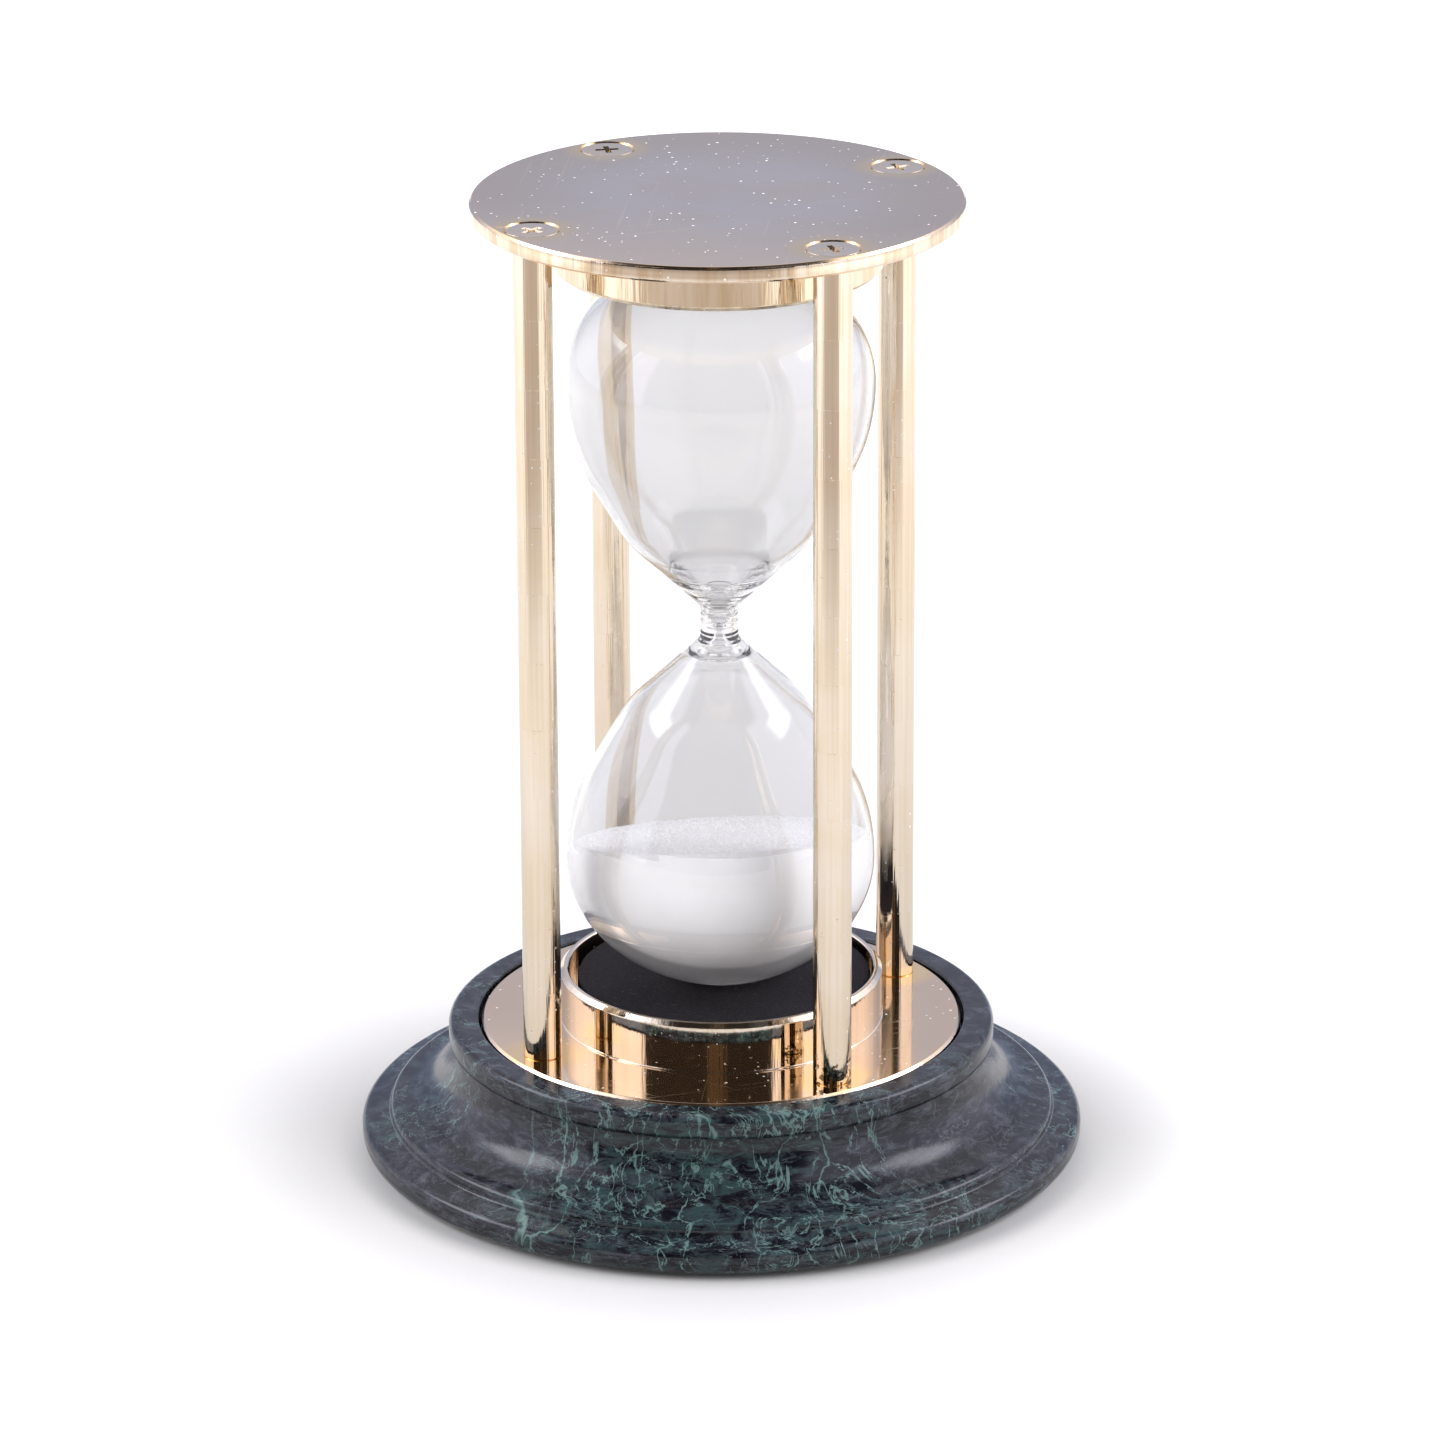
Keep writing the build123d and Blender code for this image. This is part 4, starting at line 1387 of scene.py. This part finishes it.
# %% Scatter grains on the top
def build_grains():
    tree, given, result = new_group("Loose Grains", "GeometryNodeTree", [
        ("Geometry", GEOMETRY, None), ("Grains", FLOAT, 1.0e6), ("Grain Size", FLOAT, 0.0002),
        ("Seed", INTEGER, 1), ("Finish", MATERIAL, None),
    ], [("Geometry", GEOMETRY)])
    normal = add(tree, "GeometryNodeInputNormal").outputs[0]
    up = add(tree, "ShaderNodeSeparateXYZ", {0: normal}).outputs["Z"]
    facing = add(tree, "FunctionNodeCompare", {0: up, 1: 0.8}, data_type="FLOAT", operation="GREATER_THAN")
    spread = add(tree, "GeometryNodeDistributePointsOnFaces",
                 {"Mesh": given.outputs["Geometry"], "Selection": facing.outputs[0],
                  "Density": given.outputs["Grains"], "Seed": given.outputs["Seed"]})
    ball = add(tree, "GeometryNodeMeshIcoSphere", {"Radius": given.outputs["Grain Size"], "Subdivisions": 1})
    size = add(tree, "FunctionNodeRandomValue", {"Seed": given.outputs["Seed"]}, data_type="FLOAT")
    scale = ramp(tree, live(size.outputs), 0.0, 1.0, 0.5, 1.3, smooth=False)
    turned = add(tree, "FunctionNodeRandomValue", {"Seed": given.outputs["Seed"]}, data_type="FLOAT_VECTOR")
    angles = add(tree, "ShaderNodeVectorMath", {0: live(turned.outputs), "Scale": 6.28}, operation="SCALE")
    grains = add(tree, "GeometryNodeInstanceOnPoints",
                 {"Points": spread.outputs["Points"], "Instance": ball.outputs[0],
                  "Rotation": angles.outputs[0], "Scale": scale})
    both = add(tree, "GeometryNodeJoinGeometry")
    tree.links.new(given.outputs["Geometry"], both.inputs[0])
    tree.links.new(grains.outputs[0], both.inputs[0])
    end_tree(tree, both.outputs[0], given, result)
    return tree


GRAINS = build_grains()
sand = run_tree("white_sand_fill", sand, GRAINS, {
    "Grains": 1.6e6, "Grain Size": 0.16 * MM, "Seed": 17, "Finish": white_sand,
})
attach(sand, "hourglass")
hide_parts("sand")
tell(sand)

# %% [markdown]
# ## Studio
#
# The timer stands on a white sheet between two large softboxes, with a grey backdrop behind and the dark
# room in front. Polished brass shows all of that, so the surroundings are painted on the world by
# direction: bright left and right, cool grey at the back, nearly black towards the camera. Three wide
# lights that mirrors don't see fill the shadows. The sheet is pale and glows a little, as a sheet lit from
# below does; its glow is weaker near the base as a painted shadow, stronger beside it for the camera alone
# as painted light, and mirrors see it painted dark towards the room in front.

# %% World, lights and floor
CAMERA_TURN = math.radians(13.38)
NEUTRAL = (1.0, 1.0, 1.0, 1.0)


def direction(tree):
    """Turn from the camera's side of the room, and height above the horizon, both in degrees."""
    way = add(tree, "ShaderNodeTexCoord").outputs["Generated"]
    parts = add(tree, "ShaderNodeSeparateXYZ", {0: way}).outputs
    turned = calc(tree, "ARCTAN2", parts[0], times(tree, parts[1], -1.0))
    turned = calc(tree, "WRAP", minus(tree, turned, CAMERA_TURN), math.pi, -math.pi)
    up = calc(tree, "ARCSINE", parts[2])
    return calc(tree, "DEGREES", turned), calc(tree, "DEGREES", up)


def build_world():
    world = bpy.data.worlds.new("studio")
    scene.world = world
    world.use_nodes = True
    tree = world.node_tree
    tree.nodes.clear()
    turned, up = direction(tree)
    wide = calc(tree, "ABSOLUTE", turned)
    # two softboxes left and right with a hot middle, as high as 58 degrees, and a dim ceiling
    sides = (1.50, 1.50, 1.74, 1.0)
    hot = times(tree, ramp(tree, distance_from(tree, wide, 100.0), 26.0, 12.0),
                ramp(tree, distance_from(tree, up, 40.0), 11.0, 6.0))
    sides = blend(tree, hot, sides, (6.5, 6.5, 7.1, 1.0))
    # the backdrop grows lighter from the height that the upper disc mirrors to what the lower one mirrors
    near_back = minus(tree, 180.0, wide)
    back = ramp(tree, near_back, 62.0, 26.0)
    backdrop = blend(tree, ramp(tree, up, 15.5, 22.5), (0.455, 0.515, 0.710, 1.0), (0.625, 0.650, 0.810, 1.0))
    backdrop = blend(tree, ramp(tree, up, 26.0, 40.0), backdrop, (0.86, 0.86, 0.89, 1.0))
    # light that has gone through glass finds a pale room, so that the thick neck isn't full of dark lines
    path = add(tree, "ShaderNodeLightPath").outputs
    past_glass = calc(tree, "GREATER_THAN", path["Transmission Depth"], 0.5)
    backdrop = blend(tree, past_glass, backdrop, (0.85, 0.85, 0.86, 1.0))
    sides = blend(tree, times(tree, past_glass, 0.7), sides, (0.95, 0.95, 0.97, 1.0))
    colour = blend(tree, back, sides, backdrop)
    colour = blend(tree, ramp(tree, up, 54.0, 62.0), colour, (0.08, 0.08, 0.085, 1.0))
    # the dark room on the camera's side, its middle a little to the left, with one brown thing in it
    front = ramp(tree, distance_from(tree, turned, -9.5), 50.0, 44.5)
    brown = ramp(tree, distance_from(tree, turned, -4.0), 6.5, 4.5)
    room = blend(tree, times(tree, brown, 0.8), (0.030, 0.026, 0.024, 1.0), (0.12, 0.09, 0.065, 1.0))
    room = blend(tree, past_glass, room, (0.70, 0.70, 0.73, 1.0))
    colour = blend(tree, front, colour, room)
    light = add(tree, "ShaderNodeBackground", {"Color": colour, "Strength": 1.0})
    output = tree.nodes.new("ShaderNodeOutputWorld")
    tree.links.new(light.outputs[0], output.inputs[0])
    return world


def soft_light(name, turn_by, height, distance, size, energy):
    """Round area light that no mirror or lens shows, turned from the camera's side and aimed at the timer."""
    data = bpy.data.lights.new(name, "AREA")
    data.shape, data.size, data.energy = "DISK", size, energy
    light = bpy.data.objects.new(name, data)
    scene.collection.objects.link(light)
    angle = CAMERA_TURN + math.radians(turn_by)
    light.location = (distance * math.sin(angle), -distance * math.cos(angle), height)
    aim = Vector((0.0, 0.0, glass_middle)) - light.location
    light.rotation_euler = aim.to_track_quat("-Z", "Y").to_euler()
    light.visible_glossy = False
    light.visible_transmission = False
    light.visible_camera = False
    return light


def build_floor():
    """White sheet that glows a little, with a painted shadow round the base and painted light beside it for
    the camera; mirrors see it painted dark towards the room in front.
    """
    material, tree, shader = new_material("white_sheet")
    space = add(tree, "ShaderNodeTexCoord").outputs["Object"]
    parts = add(tree, "ShaderNodeSeparateXYZ", {0: space}).outputs
    reach_out = add(tree, "ShaderNodeVectorMath", {0: space}, operation="LENGTH").outputs["Value"]
    turned = calc(tree, "ARCTAN2", parts[0], times(tree, parts[1], -1.0))
    turned = calc(tree, "DEGREES", minus(tree, turned, CAMERA_TURN))
    # painted reflection: for mirror rays outside the glass, the sheet is painted dark and brown ahead, on the
    # camera's side, beyond 0.24 m
    ahead = ramp(tree, distance_from(tree, turned, -12.0), 62.0, 34.0)
    far = ramp(tree, reach_out, 0.24, 0.50)
    path = add(tree, "ShaderNodeLightPath").outputs
    outside_glass = calc(tree, "LESS_THAN", path["Transmission Depth"], 0.5)
    mirrored = times(tree, path["Is Glossy Ray"], outside_glass)
    dark = times(tree, times(tree, ahead, far), mirrored)
    fibre = noise(tree, space, 900.0, 2.0)
    white = blend(tree, fibre, (0.52, 0.512, 0.500, 1.0), (0.54, 0.532, 0.520, 1.0))
    tree.links.new(blend(tree, dark, white, (0.27, 0.24, 0.215, 1.0)), shader.inputs["Base Color"])
    tree.links.new(blend(tree, dark, NEUTRAL, (0.42, 0.37, 0.33, 1.0)), shader.inputs["Emission Color"])
    # painted shadow: the glow is weakest at the base and grows outwards, so the sheet is darker round the
    # base
    glow = ramp(tree, reach_out, base_radius, 9.0 * base_radius, 0.02, 0.50, smooth=False)
    # painted light: camera rays alone see extra glow just beside the base, up to twice as much to the right
    lift = times(tree, ramp(tree, reach_out, base_radius, 1.5 * base_radius, 0.0, 0.17),
                path["Is Camera Ray"])
    rightward = calc(tree, "SINE", calc(tree, "RADIANS", turned))
    lift = times(tree, lift, ramp(tree, rightward, 0.25, 0.97, 1.0, 2.0))
    tree.links.new(plus(tree, glow, lift), shader.inputs["Emission Strength"])
    shader.inputs["Roughness"].default_value = 1.0
    shader.inputs["Specular IOR Level"].default_value = 0.0
    reach, steps = 6.0, 64
    rim = [(reach * math.cos(2 * math.pi * i / steps), reach * math.sin(2 * math.pi * i / steps), 0.0)
           for i in range(steps)]
    floor = mesh_object("floor", rim, faces=[tuple(range(steps))])
    floor.data.materials.append(material)
    return floor


build_world()
soft_light("fill_behind", 180.0, 1.3, 0.75, 1.2, 7.0)
soft_light("fill_left", -66.0, 0.70, 1.0, 0.8, 8.5)
soft_light("fill_right", 62.0, 0.70, 1.0, 0.8, 9.0)
build_floor()
scene.view_settings.view_transform = "Standard"
print("studio built, world", scene.world.name)

# %% [markdown]
# ## Camera
#
# A long lens from a little above, turned slightly to the right of the front, so that the two front columns
# and the two back ones all show side by side.

# %% Camera
CAMERA_DISTANCE, CAMERA_HEIGHT, LENS = 1.2652, 0.5410, 183.0
CAMERA_PITCH, CAMERA_YAW, CAMERA_ROLL = 0.34793, 0.00039, -0.0042


def build_camera():
    data = bpy.data.cameras.new("camera")
    data.lens, data.sensor_width = LENS, 36.0
    data.clip_start, data.clip_end = 0.05, 50.0
    camera = bpy.data.objects.new("camera", data)
    scene.collection.objects.link(camera)
    camera.location = (CAMERA_DISTANCE * math.sin(CAMERA_TURN), -CAMERA_DISTANCE * math.cos(CAMERA_TURN),
                       CAMERA_HEIGHT)
    camera.rotation_mode = "XYZ"
    camera.rotation_euler = (math.pi / 2 - CAMERA_PITCH, 0.0, CAMERA_TURN - CAMERA_YAW)
    matrix = camera.rotation_euler.to_matrix()
    roll = Vector((0.0, 0.0, 1.0))
    camera.rotation_euler = (matrix @ Matrix.Rotation(CAMERA_ROLL, 3, roll)).to_euler("XYZ")
    scene.camera = camera
    return camera


camera = build_camera()
print("camera at", [round(v, 4) for v in camera.location])
